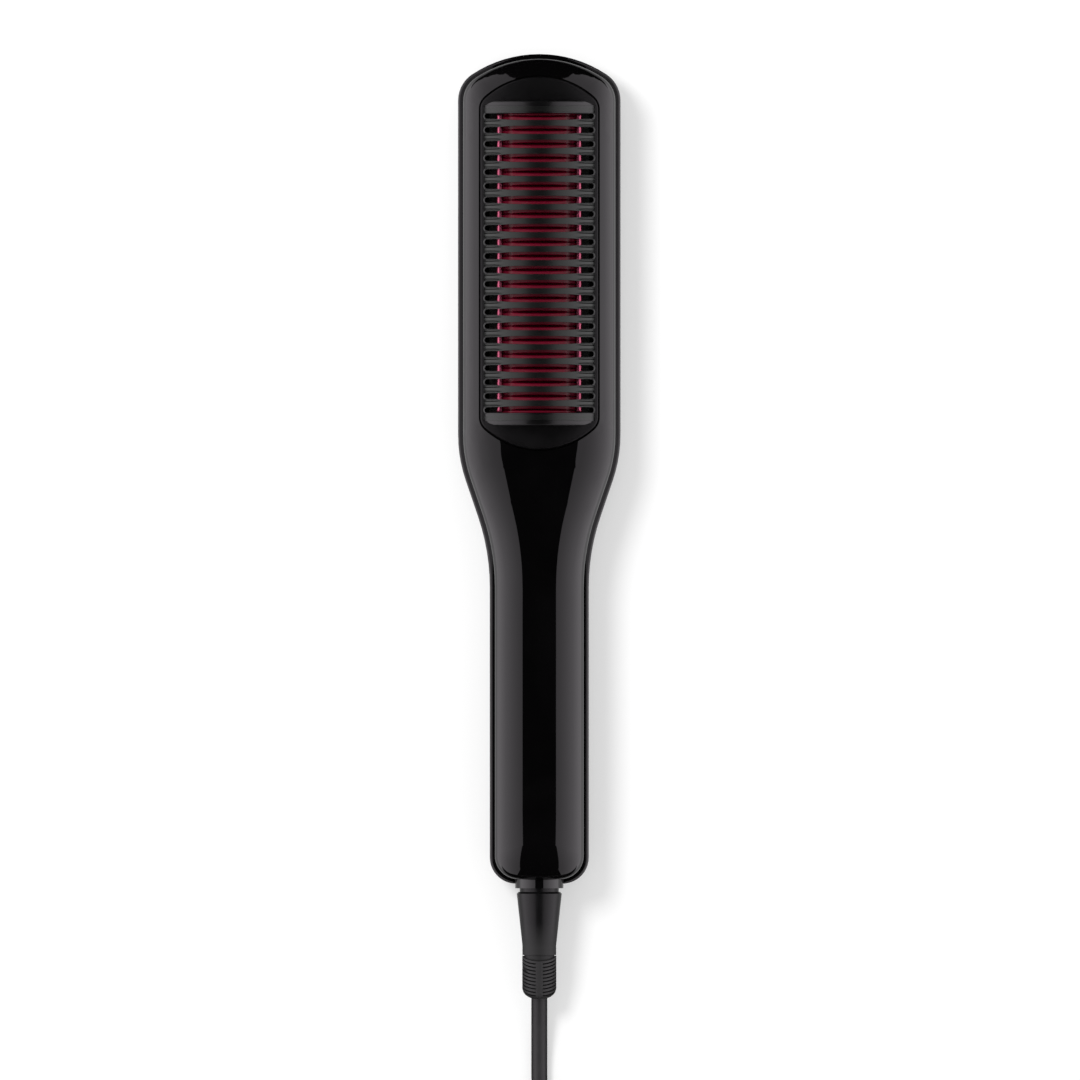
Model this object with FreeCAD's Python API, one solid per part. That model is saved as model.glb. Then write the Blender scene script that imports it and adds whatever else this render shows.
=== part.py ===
import FreeCAD, Part
import math
import os

# An electric hot comb: a heated comb head under an insulating guard, on a handle with a swivel cord.
# Millimetres. The comb lies on its back. +Z comes out of the comb face, +Y points to the head's tip,
# and the origin is under the middle of the comb and its swivel, on the plane that the back rests on.
# Places along the comb are given as a distance from the head's tip.

# Housing outline, seen from the front
HOUSING_LENGTH = 280.4
HEAD_WIDTH = 54.8
HANDLE_WIDTH = 33.4
TIP_RADIUS = 41.0
HEAD_CORNER = 10.5
NECK_START = 128.5
NECK_LENGTH = 51.5
NECK_BLEND = 1.6
NECK_OUTER_SHARE = 0.39
END_RADIUS = 70.0
END_CORNER = 8.8
CORNER_EASE = 0.6

# Housing section
PARTING = 14.0
FRONT_FACE = 28.0
FRONT_STRIP = 4.9
FRONT_RISE = 6.5
REAR_ROUND = 8.3
REAR_SIDE = 1.5
WALL = 2.0
SEAM_GAP = 0.3
SEAM_STEP = 1.75
RIM_ROUND = 0.8
TONGUE = 1.7
DOME_LEVELS = 6
SLIP_FIT = 0.15
RUN_FIT = 0.05

# Comb guard and its slots
SLOT_COUNT = 22
SLOT_PITCH = 4.72
SLOT_WIDTH = 1.9
SLOT_LENGTH = 37.6
GUARD_START = 7.6
GUARD_MARGIN = 13.5
GUARD_WIDTH = 40.4
GUARD_END_RADIUS = 27.5
GUARD_CORNER = 5.5
GUARD_TOP = 26.4
GUARD_PLATE = 2.1
GUARD_WALL = 1.5
GUARD_ROUND = 0.8
GUARD_FIT = 0.2
GUARD_SKIRT = 4.8
FLANGE_OUT = 1.3
FLANGE_THICK = 1.5
WINDOW_WIDTH = 29.8
WINDOW_COLLAR = 1.2
CROWN = 36.0
RIB_FOOT = 2.7
RIB_TOP = 1.4
RIB_DEPTH = 3.0
END_BLOCK = 4.25
END_CURVE = 9.7
END_CURVE_DEPTH = 2.0
END_ROUND = 0.9
END_STEP = 0.35

# Heater stack
PLATE_GAP = 0.3
PLATE_THICK = 3.5
PLATE_WIDTH = 29.0
PLATE_LIP = 1.3
PLATE_LIP_THICK = 1.5
PLATE_OVERLAP = 3.2
FIN_WIDTH = 23.8
FIN_FOOT = 4.5
FIN_TOP = 3.7
FIN_CREST = 2.4
FIN_SHOULDER = 2.4
FIN_GAP = 0.3
RAIL_X = 13.35
RAIL_WIDTH = 1.86
RAIL_HEIGHT = 2.3
RAIL_ROUND = 0.85
HEATER_ROOM = 4.0
CERAMIC_THICK = 1.5
CERAMIC_WIDTH = 18.0
CERAMIC_LENGTH = 70.0
MICA_THICK = 0.4
MICA_OVER = 1.0
SPRING_LENGTH = 60.0
SPRING_WIDTH = 12.0
SPRING_THICK = 0.4
CARRIER_FLOOR = 1.5
CARRIER_WALL = 1.4
CARRIER_GAP = 0.3
SENSOR_X = 12.6
SENSOR_GAP = 0.15
FUSE_DIAMETER = 3.6
FUSE_LENGTH = 11.0
BEAD_DIAMETER = 2.4
BEAD_LENGTH = 5.0

# Screws and bosses
BOSS_RADIUS = 3.6
GUARD_BOSS_RADIUS = 2.6
GUARD_BOSS_X = 8.0
GUARD_BOSS_EDGE = 5.7
SCREW_SEAT = 4.0
SCREW_HEAD_RADIUS = 2.5
SCREW_HEAD_HEIGHT = 1.8
SCREW_SHAFT_RADIUS = 1.25
SCREW_LENGTH = 18.0
SCREW_FIT = 0.25
NECK_SCREW_FROM_GUARD = 16.3
GRIP_SCREW_FROM_END = 33.4
SMALL_HEAD_RADIUS = 2.0
SMALL_HEAD_HEIGHT = 1.4
SMALL_SHAFT_RADIUS = 1.0
SMALL_LENGTH = 4.6
DRIVE_WIDTH = 0.8
DRIVE_DEPTH = 0.7
PLATE_BOSS_RADIUS = 2.4
PLATE_BOSS_X = 11.8
PLATE_BOSS_EDGE = 3.4
CARRIER_POST_RADIUS = 3.0
CARRIER_POST_X = 12.0
CARRIER_POSTS = (40.0, 100.0)

# Controls on the back of the handle
CONTROL_START = 168.0
CONTROL_LENGTH = 60.0
BEZEL_WIDTH = 13.0
BEZEL_THICK = 1.0
BEZEL_SUNK = 0.3
PAD_MARGIN = 1.5
PAD_THICK = 1.5
LENS_LENGTH = 17.0
LENS_WIDTH = 8.0
LENS_LEDGE = 1.0
LENS_CORNER = 1.2
STEP_RADIUS = 4.0
POWER_RADIUS = 4.8
BUTTON_SUNK = 0.4
BUTTON_FLANGE = 0.8
BUTTON_FLANGE_OUT = 0.9
BUTTON_TRAVEL = 0.5
BUTTON_ROUND = 0.5
PLUNGER_RADIUS = 1.7
SWITCH_SIDE = 6.0
SWITCH_HEIGHT = 3.4
SWITCH_BACK = 1.0

# Control board and what stands on it
BOARD_START = 166.0
BOARD_LENGTH = 74.0
BOARD_WIDTH = 21.0
BOARD_THICK = 1.6
BOARD_BASE = 8.0
BOARD_CORNER = 1.5
POST_RADIUS = 2.4
POST_X = 8.2
POST_EDGE = 4.0
DISPLAY_LENGTH = 15.4
DISPLAY_WIDTH = 10.0
DISPLAY_GAP = 0.2
FILM_SIZE = (6.4, 15.0, 11.5)
FILM_PLACE = (-5.2, 200.0)
FILM_ROUND = 0.6
CAN_RADIUS = 4.0
CAN_HEIGHT = 13.0
CAN_PLACE = (4.6, 199.0)
TRIAC_SIZE = (10.0, 9.2, 4.4)
TRIAC_TAB = (10.0, 6.0, 1.3)
TRIAC_PLACE = (3.2, 214.0)
TRIAC_HOLE_RADIUS = 1.8
LINK_RADIUS = 1.9
LINK_LENGTH = 10.0
LINK_PLACE = (-7.0, 222.0)
CHIP_SIZE = (4.0, 9.9, 1.6)
CHIP_PLACE = (0.0, 186.0)
CHIP_LEGS = 8
CHIP_LEG_PITCH = 1.27
CHIP_LEG = 0.45
CHIP_LEG_REACH = 1.0

# Swivel at the handle's end, about an axis along the comb at the parting height
COLLAR_RADIUS = 8.15
COLLAR_PROUD = 1.0
COLLAR_FLANGE_RADIUS = 9.8
COLLAR_FLANGE = 1.7
SADDLE_FROM_END = 5.6
SADDLE_THICK = 2.0
NECK_RADIUS = 6.6
NECK_NOTCH = 1.25
SLEEVE_LENGTH = 21.3
SLEEVE_RADIUS = 7.6
SLEEVE_END_RADIUS = 5.7
SLEEVE_CUFF = 3.2
SLEEVE_ROUND = 0.6
BALL_RADIUS = 5.1
STOP_RADIUS = 8.4
STOP_THICK = 2.0
SWIVEL_GAP = 0.3
HUB_RADIUS = 4.6
HUB_SPACER_RADIUS = 6.4
HUB_SPACER = 1.8
RING_RADIUS = 5.6
RING_WIDTH = 3.0
BLOCK_WIDTH = 14.0
BLOCK_HEIGHT = 4.2
LEAF_THICK = 0.4
LEAF_WIDTH = 2.2
LEAF_SPAN = 12.0
LEAF_GAP = 0.15

# Ribbed cord guard, leaning back to the floor
LEAN = 22.0
RELIEF_RADIUS = 5.75
RELIEF_LENGTH = 14.7
RELIEF_DOME = 2.9
RELIEF_MOUTH = 3.1
RELIEF_STEPS = 6
GROOVE_COUNT = 10
GROOVE_PITCH = 1.3
GROOVE_WIDTH = 0.55
GROOVE_DEPTH = 0.9
GROOVE_START = 0.7
SPINE_WIDTH = 2.4
BALL_GAP = 0.25

# Power cord and leads
BEND_SHARE = 0.45
CORD_DIAMETER = 5.4
CORD_FLOOR = 2.7
COIL_GAP = 0.7
COIL_LIFT = 1.2
COIL_INNER_RADIUS = 21.6
COIL_QUARTERS = (9, 9, 9, 10)
COIL_ENTRY_ANGLE = 60.0
TIE_ANGLE = 195.0
TIE_WIDTH = 6.0
TIE_THICK = 0.9
TIE_GAP = 0.3
TIE_ROUND = 3.0
RUN_BEND_Y = -203.0
RUN_STEP = 16.5
TAIL_STEP = 15.0
TAIL_SLOPE = 28.0
PLUG_LENGTH = 26.0
PLUG_WIDTH = 24.0
PLUG_THICK = 14.0
PLUG_ROUND = 5.0
PLUG_NECK = 9.0
PLUG_NECK_RADIUS = 4.6
BLADE_LENGTH = 16.0
BLADE_WIDTH = 6.35
BLADE_THICK = 1.52
BLADE_SPACING = 12.7
BLADE_ROUND = 1.6
LEAD_RADIUS = 0.7
FINE_RADIUS = 0.45

# Places that follow from the sizes above
SLEEVE_TOP = HOUSING_LENGTH + COLLAR_PROUD + NECK_NOTCH
BALL_PLACE = SLEEVE_TOP + SLEEVE_LENGTH
TIP_Y = (BALL_PLACE + BALL_RADIUS) / 2
FIRST_SLOT = GUARD_START + GUARD_MARGIN
LAST_SLOT = FIRST_SLOT + (SLOT_COUNT - 1) * SLOT_PITCH
GUARD_END = LAST_SLOT + GUARD_MARGIN
GUARD_UNDER = GUARD_TOP - GUARD_PLATE
FLANGE_BASE = GUARD_UNDER - GUARD_SKIRT
FLANGE_TOP = FLANGE_BASE + FLANGE_THICK
PLATE_TOP = GUARD_UNDER - PLATE_GAP
PLATE_BASE = PLATE_TOP - PLATE_THICK
PLATE_START = FIRST_SLOT - PLATE_OVERLAP
PLATE_END = LAST_SLOT + PLATE_OVERLAP
FLOOR_TOP = PLATE_BASE - HEATER_ROOM
FLOOR_BASE = FLOOR_TOP - CARRIER_FLOOR
MICA_BASE = PLATE_BASE - CERAMIC_THICK - MICA_THICK
HEAD_MIDDLE = (FIRST_SLOT + LAST_SLOT) / 2
RECESS = BEZEL_SUNK + BEZEL_THICK
PAD_TOP = RECESS + PAD_THICK
BUTTON_FLANGE_BASE = PAD_TOP + SLIP_FIT
BUTTON_BACK = BUTTON_FLANGE_BASE + BUTTON_FLANGE
BOARD_TOP = BOARD_BASE + BOARD_THICK
BOARD_END = BOARD_START + BOARD_LENGTH
STEP_FLANGE_RADIUS = STEP_RADIUS + BUTTON_FLANGE_OUT
POWER_FLANGE_RADIUS = POWER_RADIUS + BUTTON_FLANGE_OUT
CONTROL_HALVES = (LENS_LENGTH / 2, STEP_FLANGE_RADIUS, STEP_FLANGE_RADIUS, POWER_FLANGE_RADIUS)
CONTROL_GAP = (CONTROL_LENGTH - 2 * sum(CONTROL_HALVES)) / (len(CONTROL_HALVES) + 1)
LENS_PLACE = CONTROL_START + CONTROL_GAP + LENS_LENGTH / 2
UP_PLACE = LENS_PLACE + LENS_LENGTH / 2 + CONTROL_GAP + STEP_FLANGE_RADIUS
DOWN_PLACE = UP_PLACE + CONTROL_GAP + 2 * STEP_FLANGE_RADIUS
POWER_PLACE = DOWN_PLACE + STEP_FLANGE_RADIUS + CONTROL_GAP + POWER_FLANGE_RADIUS
FRONT_ROUND = (HANDLE_WIDTH - FRONT_STRIP) / 2 - SEAM_STEP
NECK_SCREW = GUARD_END + NECK_SCREW_FROM_GUARD
GRIP_SCREW = HOUSING_LENGTH - GRIP_SCREW_FROM_END
SADDLE_END = HOUSING_LENGTH - SADDLE_FROM_END
COLLAR_INNER = SADDLE_END - SADDLE_THICK - COLLAR_FLANGE
STOP_END = COLLAR_INNER - SWIVEL_GAP
STOP_START = STOP_END - STOP_THICK
NEAR_RING = STOP_START - HUB_SPACER
FAR_RING = NEAR_RING - RING_WIDTH - HUB_SPACER
HUB_END = FAR_RING - RING_WIDTH - HUB_SPACER
BUTTONS = {
    "power": (POWER_PLACE, POWER_RADIUS),
    "up": (UP_PLACE, STEP_RADIUS),
    "down": (DOWN_PLACE, STEP_RADIUS),
}
GUARD_BOSSES = [
    (side * GUARD_BOSS_X, place)
    for side in (-1, 1)
    for place in (GUARD_START + GUARD_BOSS_EDGE, GUARD_END - GUARD_BOSS_EDGE)
]
GRIP_BOSSES = [(0.0, NECK_SCREW), (0.0, GRIP_SCREW)]
PLATE_BOSSES = [
    (side * PLATE_BOSS_X, place)
    for side in (-1, 1)
    for place in (PLATE_START + PLATE_BOSS_EDGE, PLATE_END - PLATE_BOSS_EDGE)
]
BOARD_POSTS = [
    (side * POST_X, place) for side in (-1, 1) for place in (BOARD_START + POST_EDGE, BOARD_END - POST_EDGE)
]

UP = FreeCAD.Vector(0, 0, 1)
ALONG = FreeCAD.Vector(0, -1, 0)


def at(x, distance, z):
    """A point given by its distance from the head's tip."""
    return FreeCAD.Vector(x, TIP_Y - distance, z)


def stretch(start, middle, end):
    """A straight edge, or an arc where a middle point is given."""
    if middle is None:
        return Part.LineSegment(start, end).toShape()
    return Part.Arc(start, middle, end).toShape()


def closed(stretches, z):
    """A closed level wire through stretches of (start, middle, end) places."""
    edges = []
    for places in stretches:
        points = [None if place is None else at(place[0], place[1], z) for place in places]
        edges.append(stretch(*points))
    return Part.Wire(edges)


def prism(wire, height):
    return Part.Face(wire).extrude(UP * height)


def box(x, distance, z, width, length, height):
    """A box centred on x and on a distance from the tip, standing on z."""
    return Part.makeBox(width, length, height, at(x - width / 2, distance + length / 2, z))


def post(x, distance, base, top, radius):
    return Part.makeCylinder(radius, top - base, at(x, distance, base), UP)


def join(shapes):
    """One solid from shapes that meet."""
    whole = shapes[0].fuse(list(shapes[1:]))
    return whole.removeSplitter()


def mirrored(places):
    return tuple(None if place is None else (-place[0], place[1]) for place in reversed(places))


def rounded_end(half, apex, away, big, corner):
    """Where an end's wide arc meets its corner arc, the corner's middle, and where the side starts.

    away is +1 where the piece runs on to greater distances from the apex, and -1 where it runs back.
    """
    turn = math.asin((half - corner) / (big - corner))
    depth = big - (big - corner) * math.cos(turn)
    middle = (turn + math.pi / 2) / 2
    meet = (big * math.sin(turn), apex + away * (big - big * math.cos(turn)))
    bend = (half - corner + corner * math.sin(middle), apex + away * (depth - corner * math.cos(middle)))
    return meet, bend, (half, apex + away * depth)


def both_sides(right, tip, end):
    """The whole outline from its right-hand stretches and the middles of its two end arcs."""
    first, last = right[0][0], right[-1][2]
    left = [mirrored(places) for places in reversed(right)]
    return [((-first[0], first[1]), tip, first), *right, (last, end, (-last[0], last[1])), *left]


def outline(inset, z):
    """The housing's outline at height z, drawn in by inset all round."""
    head = HEAD_WIDTH / 2 - inset
    grip = HANDLE_WIDTH / 2 - inset
    ease = CORNER_EASE * inset
    tip = rounded_end(head, inset, 1, TIP_RADIUS - inset, HEAD_CORNER - ease)
    end = rounded_end(grip, HOUSING_LENGTH - inset, -1, END_RADIUS - inset, END_CORNER - ease)
    drop = (HEAD_WIDTH - HANDLE_WIDTH) / 2
    lean = NECK_BLEND * math.atan2(drop, NECK_LENGTH)
    radii = (NECK_LENGTH - drop / math.tan(lean)) / math.tan(lean / 2)
    outer = NECK_OUTER_SHARE * radii
    inner = radii - outer
    neck_end = NECK_START + NECK_LENGTH

    def shoulder(angle):
        reach = outer - inset
        return HEAD_WIDTH / 2 - outer + reach * math.cos(angle), NECK_START + reach * math.sin(angle)

    def throat(angle):
        reach = inner + inset
        return HANDLE_WIDTH / 2 + inner - reach * math.cos(angle), neck_end - reach * math.sin(angle)

    right = [
        tip,
        (tip[2], None, shoulder(0)),
        (shoulder(0), shoulder(lean / 2), shoulder(lean)),
        (shoulder(lean), None, throat(lean)),
        (throat(lean), throat(lean / 2), throat(0)),
        (throat(0), None, end[2]),
        tuple(reversed(end)),
    ]
    return closed(both_sides(right, (0, inset), (0, HOUSING_LENGTH - inset)), z)


def dome(inset, reach, base, top):
    """A solid whose outline draws in along a quarter ellipse from its base level to its top level."""
    wires = []
    for level in range(DOME_LEVELS + 1):
        turn = math.pi / 2 * level / DOME_LEVELS
        wires.append(outline(inset + reach * (1 - math.cos(turn)), base + (top - base) * math.sin(turn)))
    return Part.makeLoft(wires, True)


def guard_outline(grow, z):
    """The comb guard's outline at height z, made larger by grow all round."""
    half = GUARD_WIDTH / 2 + grow
    big, corner = GUARD_END_RADIUS + grow, GUARD_CORNER + grow
    tip = rounded_end(half, GUARD_START - grow, 1, big, corner)
    end = rounded_end(half, GUARD_END + grow, -1, big, corner)
    right = [tip, (tip[2], None, end[2]), tuple(reversed(end))]
    return closed(both_sides(right, (0, GUARD_START - grow), (0, GUARD_END + grow)), z)


def ring_wall(grow_out, grow_in, base, top):
    """A wall that follows the comb guard's outline."""
    height = top - base
    return prism(guard_outline(grow_out, base), height).cut(prism(guard_outline(grow_in, base), height))


def oblong(middle, length, width, corner, base, top):
    """A level plate with round corners on the centre line."""
    half = width / 2
    start, end = middle - length / 2, middle + length / 2
    if 2 * corner >= width:
        near, far = start + half, end - half
        round_way = [
            ((-half, near), (0, start), (half, near)),
            ((half, near), None, (half, far)),
            ((half, far), (0, end), (-half, far)),
            ((-half, far), None, (-half, near)),
        ]
        return prism(closed(round_way, base), top - base)
    plate = box(0, middle, base, width, length, top - base)
    return plate.makeFillet(corner, [edge for edge in plate.Edges if upright(edge)])


def upright(edge):
    span = edge.BoundBox
    return span.ZLength > span.XLength + span.YLength


def collar_bore(radius):
    """The room that the swivel's collar takes through the handle's end."""
    start = SADDLE_END - SADDLE_THICK
    return Part.makeCylinder(radius, HOUSING_LENGTH + WALL - start, at(0, start, PARTING), ALONG)


def saddle(inside):
    """A cross wall inside a shell that carries the swivel's collar."""
    wall = box(0, SADDLE_END - SADDLE_THICK / 2, 0, HANDLE_WIDTH, SADDLE_THICK, FRONT_FACE)
    return wall.common(inside)


def tongue_ring(outer_inset, inner_inset, deeper):
    """The lip of the front shell inside the rear shell's rim, or the room for it."""
    base = PARTING - TONGUE - deeper
    height = PARTING + SEAM_GAP - base
    return prism(outline(outer_inset, base), height).cut(prism(outline(inner_inset, base), height))


def screw_bores(places):
    """Blind holes for the housing screws, in the bosses above the parting height."""
    top = SCREW_SEAT + SCREW_LENGTH + SCREW_FIT
    return [post(x, d, PARTING, top, SCREW_SHAFT_RADIUS + RUN_FIT) for x, d in places]


def boss_to_front(x, distance, outer):
    """A screw boss that hangs from the front shell down to the parting height."""
    foot = post(x, distance, PARTING, PARTING + SEAM_GAP, BOSS_RADIUS)
    return post(x, distance, PARTING, FRONT_FACE, BOSS_RADIUS).common(outer).fuse(foot)


def walled_dome(inset, reach, foot, base, top):
    """An upright wall from its foot to the base of the dome that closes it."""
    return join([prism(outline(inset, foot), base - foot), dome(inset, reach, base, top)])


def front_shell():
    foot, base = PARTING + SEAM_GAP, FRONT_FACE - FRONT_RISE
    outer = walled_dome(SEAM_STEP, FRONT_ROUND, foot, base, FRONT_FACE)
    inner = walled_dome(SEAM_STEP + WALL, FRONT_ROUND - WALL, foot, base, FRONT_FACE - WALL)
    tongue = tongue_ring(WALL + SLIP_FIT, SEAM_STEP + WALL, 0)
    collar = ring_wall(GUARD_FIT + WINDOW_COLLAR, GUARD_FIT, FLANGE_TOP, FRONT_FACE).common(outer)
    bosses = [boss_to_front(x, d, outer) for x, d in GRIP_BOSSES]
    shell = join([outer.cut(inner), tongue, collar, saddle(inner), *bosses])
    window = prism(guard_outline(GUARD_FIT, PARTING), FRONT_FACE)
    return shell.cut([window, collar_bore(COLLAR_RADIUS + RUN_FIT), *screw_bores(GRIP_BOSSES)])


def rear_shell():
    side = PARTING - REAR_SIDE
    outer = join([dome(0, REAR_ROUND, side, 0), prism(outline(0, side), REAR_SIDE)])
    rim = [edge for edge in outer.Edges if edge.BoundBox.ZMin > PARTING - RUN_FIT]
    outer = outer.makeFillet(RIM_ROUND, rim)
    inner = dome(WALL, REAR_ROUND - WALL, side, WALL).fuse(prism(outline(WALL, side), REAR_SIDE))
    middle = CONTROL_START + CONTROL_LENGTH / 2
    pad_length, pad_width = CONTROL_LENGTH + 2 * PAD_MARGIN, BEZEL_WIDTH + 2 * PAD_MARGIN
    pad = oblong(middle, pad_length, pad_width, pad_width, WALL / 2, PAD_TOP)
    standing = [post(x, d, WALL / 2, PARTING, BOSS_RADIUS) for x, d in GUARD_BOSSES]
    standing += [post(x, d, WALL / 2, PARTING, BOSS_RADIUS) for x, d in GRIP_BOSSES]
    standing += [post(x, d, WALL / 2, BOARD_BASE, POST_RADIUS) for x, d in BOARD_POSTS]
    standing += [
        post(side_x * CARRIER_POST_X, d, WALL / 2, FLOOR_BASE, CARRIER_POST_RADIUS)
        for side_x in (-1, 1)
        for d in CARRIER_POSTS
    ]
    shell = join([outer.cut(inner), pad, saddle(inner), *standing])
    cuts = [collar_bore(COLLAR_RADIUS + RUN_FIT), tongue_ring(WALL, SEAM_STEP + WALL + SLIP_FIT, SLIP_FIT)]
    for x, d in GUARD_BOSSES + GRIP_BOSSES:
        cuts.append(post(x, d, 0, SCREW_SEAT, SCREW_HEAD_RADIUS + SCREW_FIT))
        cuts.append(post(x, d, 0, PARTING, SCREW_SHAFT_RADIUS + SCREW_FIT))
    for x, d in BOARD_POSTS:
        bore_base = BOARD_TOP - SMALL_LENGTH - SCREW_FIT
        cuts.append(post(x, d, bore_base, BOARD_BASE, SMALL_SHAFT_RADIUS + RUN_FIT))
    recess_width = BEZEL_WIDTH + 2 * SLIP_FIT
    cuts.append(oblong(middle, CONTROL_LENGTH + 2 * SLIP_FIT, recess_width, recess_width, 0, RECESS))
    view_length, view_width = LENS_LENGTH - 2 * LENS_LEDGE, LENS_WIDTH - 2 * LENS_LEDGE
    cuts.append(oblong(LENS_PLACE, view_length, view_width, LENS_CORNER, 0, PAD_TOP))
    for place, radius in BUTTONS.values():
        cuts.append(post(0, place, 0, PAD_TOP, radius + SLIP_FIT))
    return shell.cut(cuts)


def arch(radius, centre, base, length):
    """A solid under an arc about (0, centre) in the comb's cross-section, down to base."""
    half = math.sqrt(radius**2 - (base - centre) ** 2)
    left, right, top = at(-half, 0, base), at(half, 0, base), at(0, 0, centre + radius)
    face = Part.Face(Part.Wire([stretch(left, top, right), stretch(right, None, left)]))
    return face.extrude(ALONG * length)


def arc_for(half, base, crown):
    """Radius and centre height of the arc that spans half either side at base and rises to crown."""
    rise = crown - base
    radius = (half**2 + rise**2) / (2 * rise)
    return radius, crown - radius


def bar_across(places, width):
    """A bar across the comb with the given (distance, height) corners."""
    points = [at(-width / 2, d, z) for d, z in places]
    return Part.Face(Part.makePolygon(points + points[:1])).extrude(FreeCAD.Vector(width, 0, 0))


def wedge(foot, top, base, crown, width):
    """A bar across the comb that narrows along the comb from its foot to its top."""
    return bar_across([(-foot / 2, base), (foot / 2, base), (top / 2, crown), (-top / 2, crown)], width)


def repeated(shape, places):
    """Copies of a shape made at the tip, each moved to its distance."""
    return Part.makeCompound([shape.translated(ALONG * place) for place in places])


def rib_places():
    return [FIRST_SLOT + (index + 0.5) * SLOT_PITCH for index in range(SLOT_COUNT - 1)]


def end_block():
    """The arched block under an end rib: its end wall has a rounded top edge and rounded corners."""
    _, centre = arc_for(SLOT_LENGTH / 2, GUARD_TOP, CROWN)
    half = SLOT_LENGTH / 2
    reach = math.sqrt(END_CURVE**2 - (END_CURVE - END_CURVE_DEPTH) ** 2)
    turn = math.asin(reach / END_CURVE) / 2
    bend = (half - reach + END_CURVE * math.sin(turn), END_CURVE - END_CURVE * math.cos(turn))
    across = ((reach - half, 0), None, (half - reach, 0))
    corner = ((half - reach, 0), bend, (half, END_CURVE_DEPTH))
    side = ((half, END_CURVE_DEPTH), None, (half, END_BLOCK))
    back = ((half, END_BLOCK), None, (-half, END_BLOCK))
    ring = [across, corner, side, back, mirrored(side), mirrored(corner)]
    plan = prism(closed(ring, GUARD_TOP), CROWN - GUARD_TOP)
    edge_inset = END_ROUND * (1 - math.cos(math.pi / 4))
    crest = CROWN - END_STEP
    edge_bend = at(0, edge_inset, crest - edge_inset)
    wall_top, edge_end = at(0, 0, crest - END_ROUND), at(0, END_ROUND, crest)
    crest_end, foot_end, foot_start = at(0, END_BLOCK, crest), at(0, END_BLOCK, centre), at(0, 0, centre)
    edges = [
        stretch(foot_start, None, wall_top),
        stretch(wall_top, edge_bend, edge_end),
        stretch(edge_end, None, crest_end),
        stretch(crest_end, None, foot_end),
        stretch(foot_end, None, foot_start),
    ]
    turned = Part.Face(Part.Wire(edges)).revolve(foot_start, ALONG, 360)
    return turned.common(plan)


def inner_arc():
    return arc_for(WINDOW_WIDTH / 2, GUARD_TOP, CROWN - RIB_DEPTH)


def rib():
    """One of the guard's arched ribs, which narrows towards its crown."""
    radius, centre = arc_for(SLOT_LENGTH / 2, GUARD_TOP, CROWN)
    inner_radius, inner_centre = inner_arc()
    hollow = arch(inner_radius, inner_centre, GUARD_TOP, RIB_FOOT)
    band = arch(radius, centre, GUARD_TOP, RIB_FOOT).cut(hollow).translated(ALONG * (-RIB_FOOT / 2))
    return band.common(wedge(RIB_FOOT, RIB_TOP, GUARD_TOP, CROWN, GUARD_WIDTH))


def comb_guard():
    plate = prism(guard_outline(0, GUARD_UNDER), GUARD_PLATE)
    top_edges = [edge for edge in plate.Edges if edge.BoundBox.ZMin > GUARD_TOP - RUN_FIT]
    plate = plate.makeFillet(GUARD_ROUND, top_edges)
    skirt = ring_wall(0, -GUARD_WALL, FLANGE_BASE, GUARD_UNDER)
    flange = ring_wall(FLANGE_OUT, -GUARD_WALL, FLANGE_BASE, FLANGE_TOP)
    bosses = [post(x, d, PARTING, GUARD_UNDER, GUARD_BOSS_RADIUS) for x, d in GUARD_BOSSES]
    tip_block = end_block().translated(ALONG * (FIRST_SLOT - SLOT_WIDTH / 2 - END_BLOCK))
    neck_block = tip_block.mirror(at(0, HEAD_MIDDLE, 0), ALONG)
    end_places = (FIRST_SLOT - SLOT_PITCH / 2, LAST_SLOT + SLOT_PITCH / 2)
    end_ribs = [rib().translated(ALONG * place) for place in end_places]
    body = join([plate, skirt, flange, *bosses, tip_block, neck_block, *end_ribs])
    opening = box(0, HEAD_MIDDLE, GUARD_UNDER, WINDOW_WIDTH, LAST_SLOT - FIRST_SLOT + SLOT_WIDTH, GUARD_PLATE)
    half = SLOT_LENGTH / 2 - SLOT_WIDTH / 2
    slot = box(0, 0, GUARD_UNDER, 2 * half, SLOT_WIDTH, GUARD_PLATE)
    slot = slot.fuse([post(side * half, 0, GUARD_UNDER, GUARD_TOP, SLOT_WIDTH / 2) for side in (-1, 1)])
    slots = [slot.translated(ALONG * (FIRST_SLOT + index * SLOT_PITCH)) for index in range(SLOT_COUNT)]
    return body.cut([opening, *slots, *screw_bores(GUARD_BOSSES)])


def guard_ribs():
    return repeated(rib(), rib_places())


def heater_fins():
    inner_radius, inner_centre = inner_arc()
    crown = inner_centre + inner_radius - FIN_GAP
    body = arch(inner_radius - FIN_GAP, inner_centre, PLATE_TOP, FIN_FOOT).translated(ALONG * (-FIN_FOOT / 2))
    stem = box(0, 0, PLATE_TOP, FIN_WIDTH, FIN_FOOT, crown - FIN_CREST - PLATE_TOP)
    crest = wedge(FIN_FOOT, FIN_TOP, crown - FIN_CREST, crown, FIN_WIDTH)
    fin = body.common(join([stem, crest]))
    shoulder = inner_centre + math.sqrt((inner_radius - FIN_GAP) ** 2 - (FIN_WIDTH / 2) ** 2)
    ends = [edge for edge in fin.Edges if abs(edge.CenterOfMass.z - shoulder) < RUN_FIT]
    return repeated(fin.makeChamfer(FIN_SHOULDER, ends), rib_places())


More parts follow.
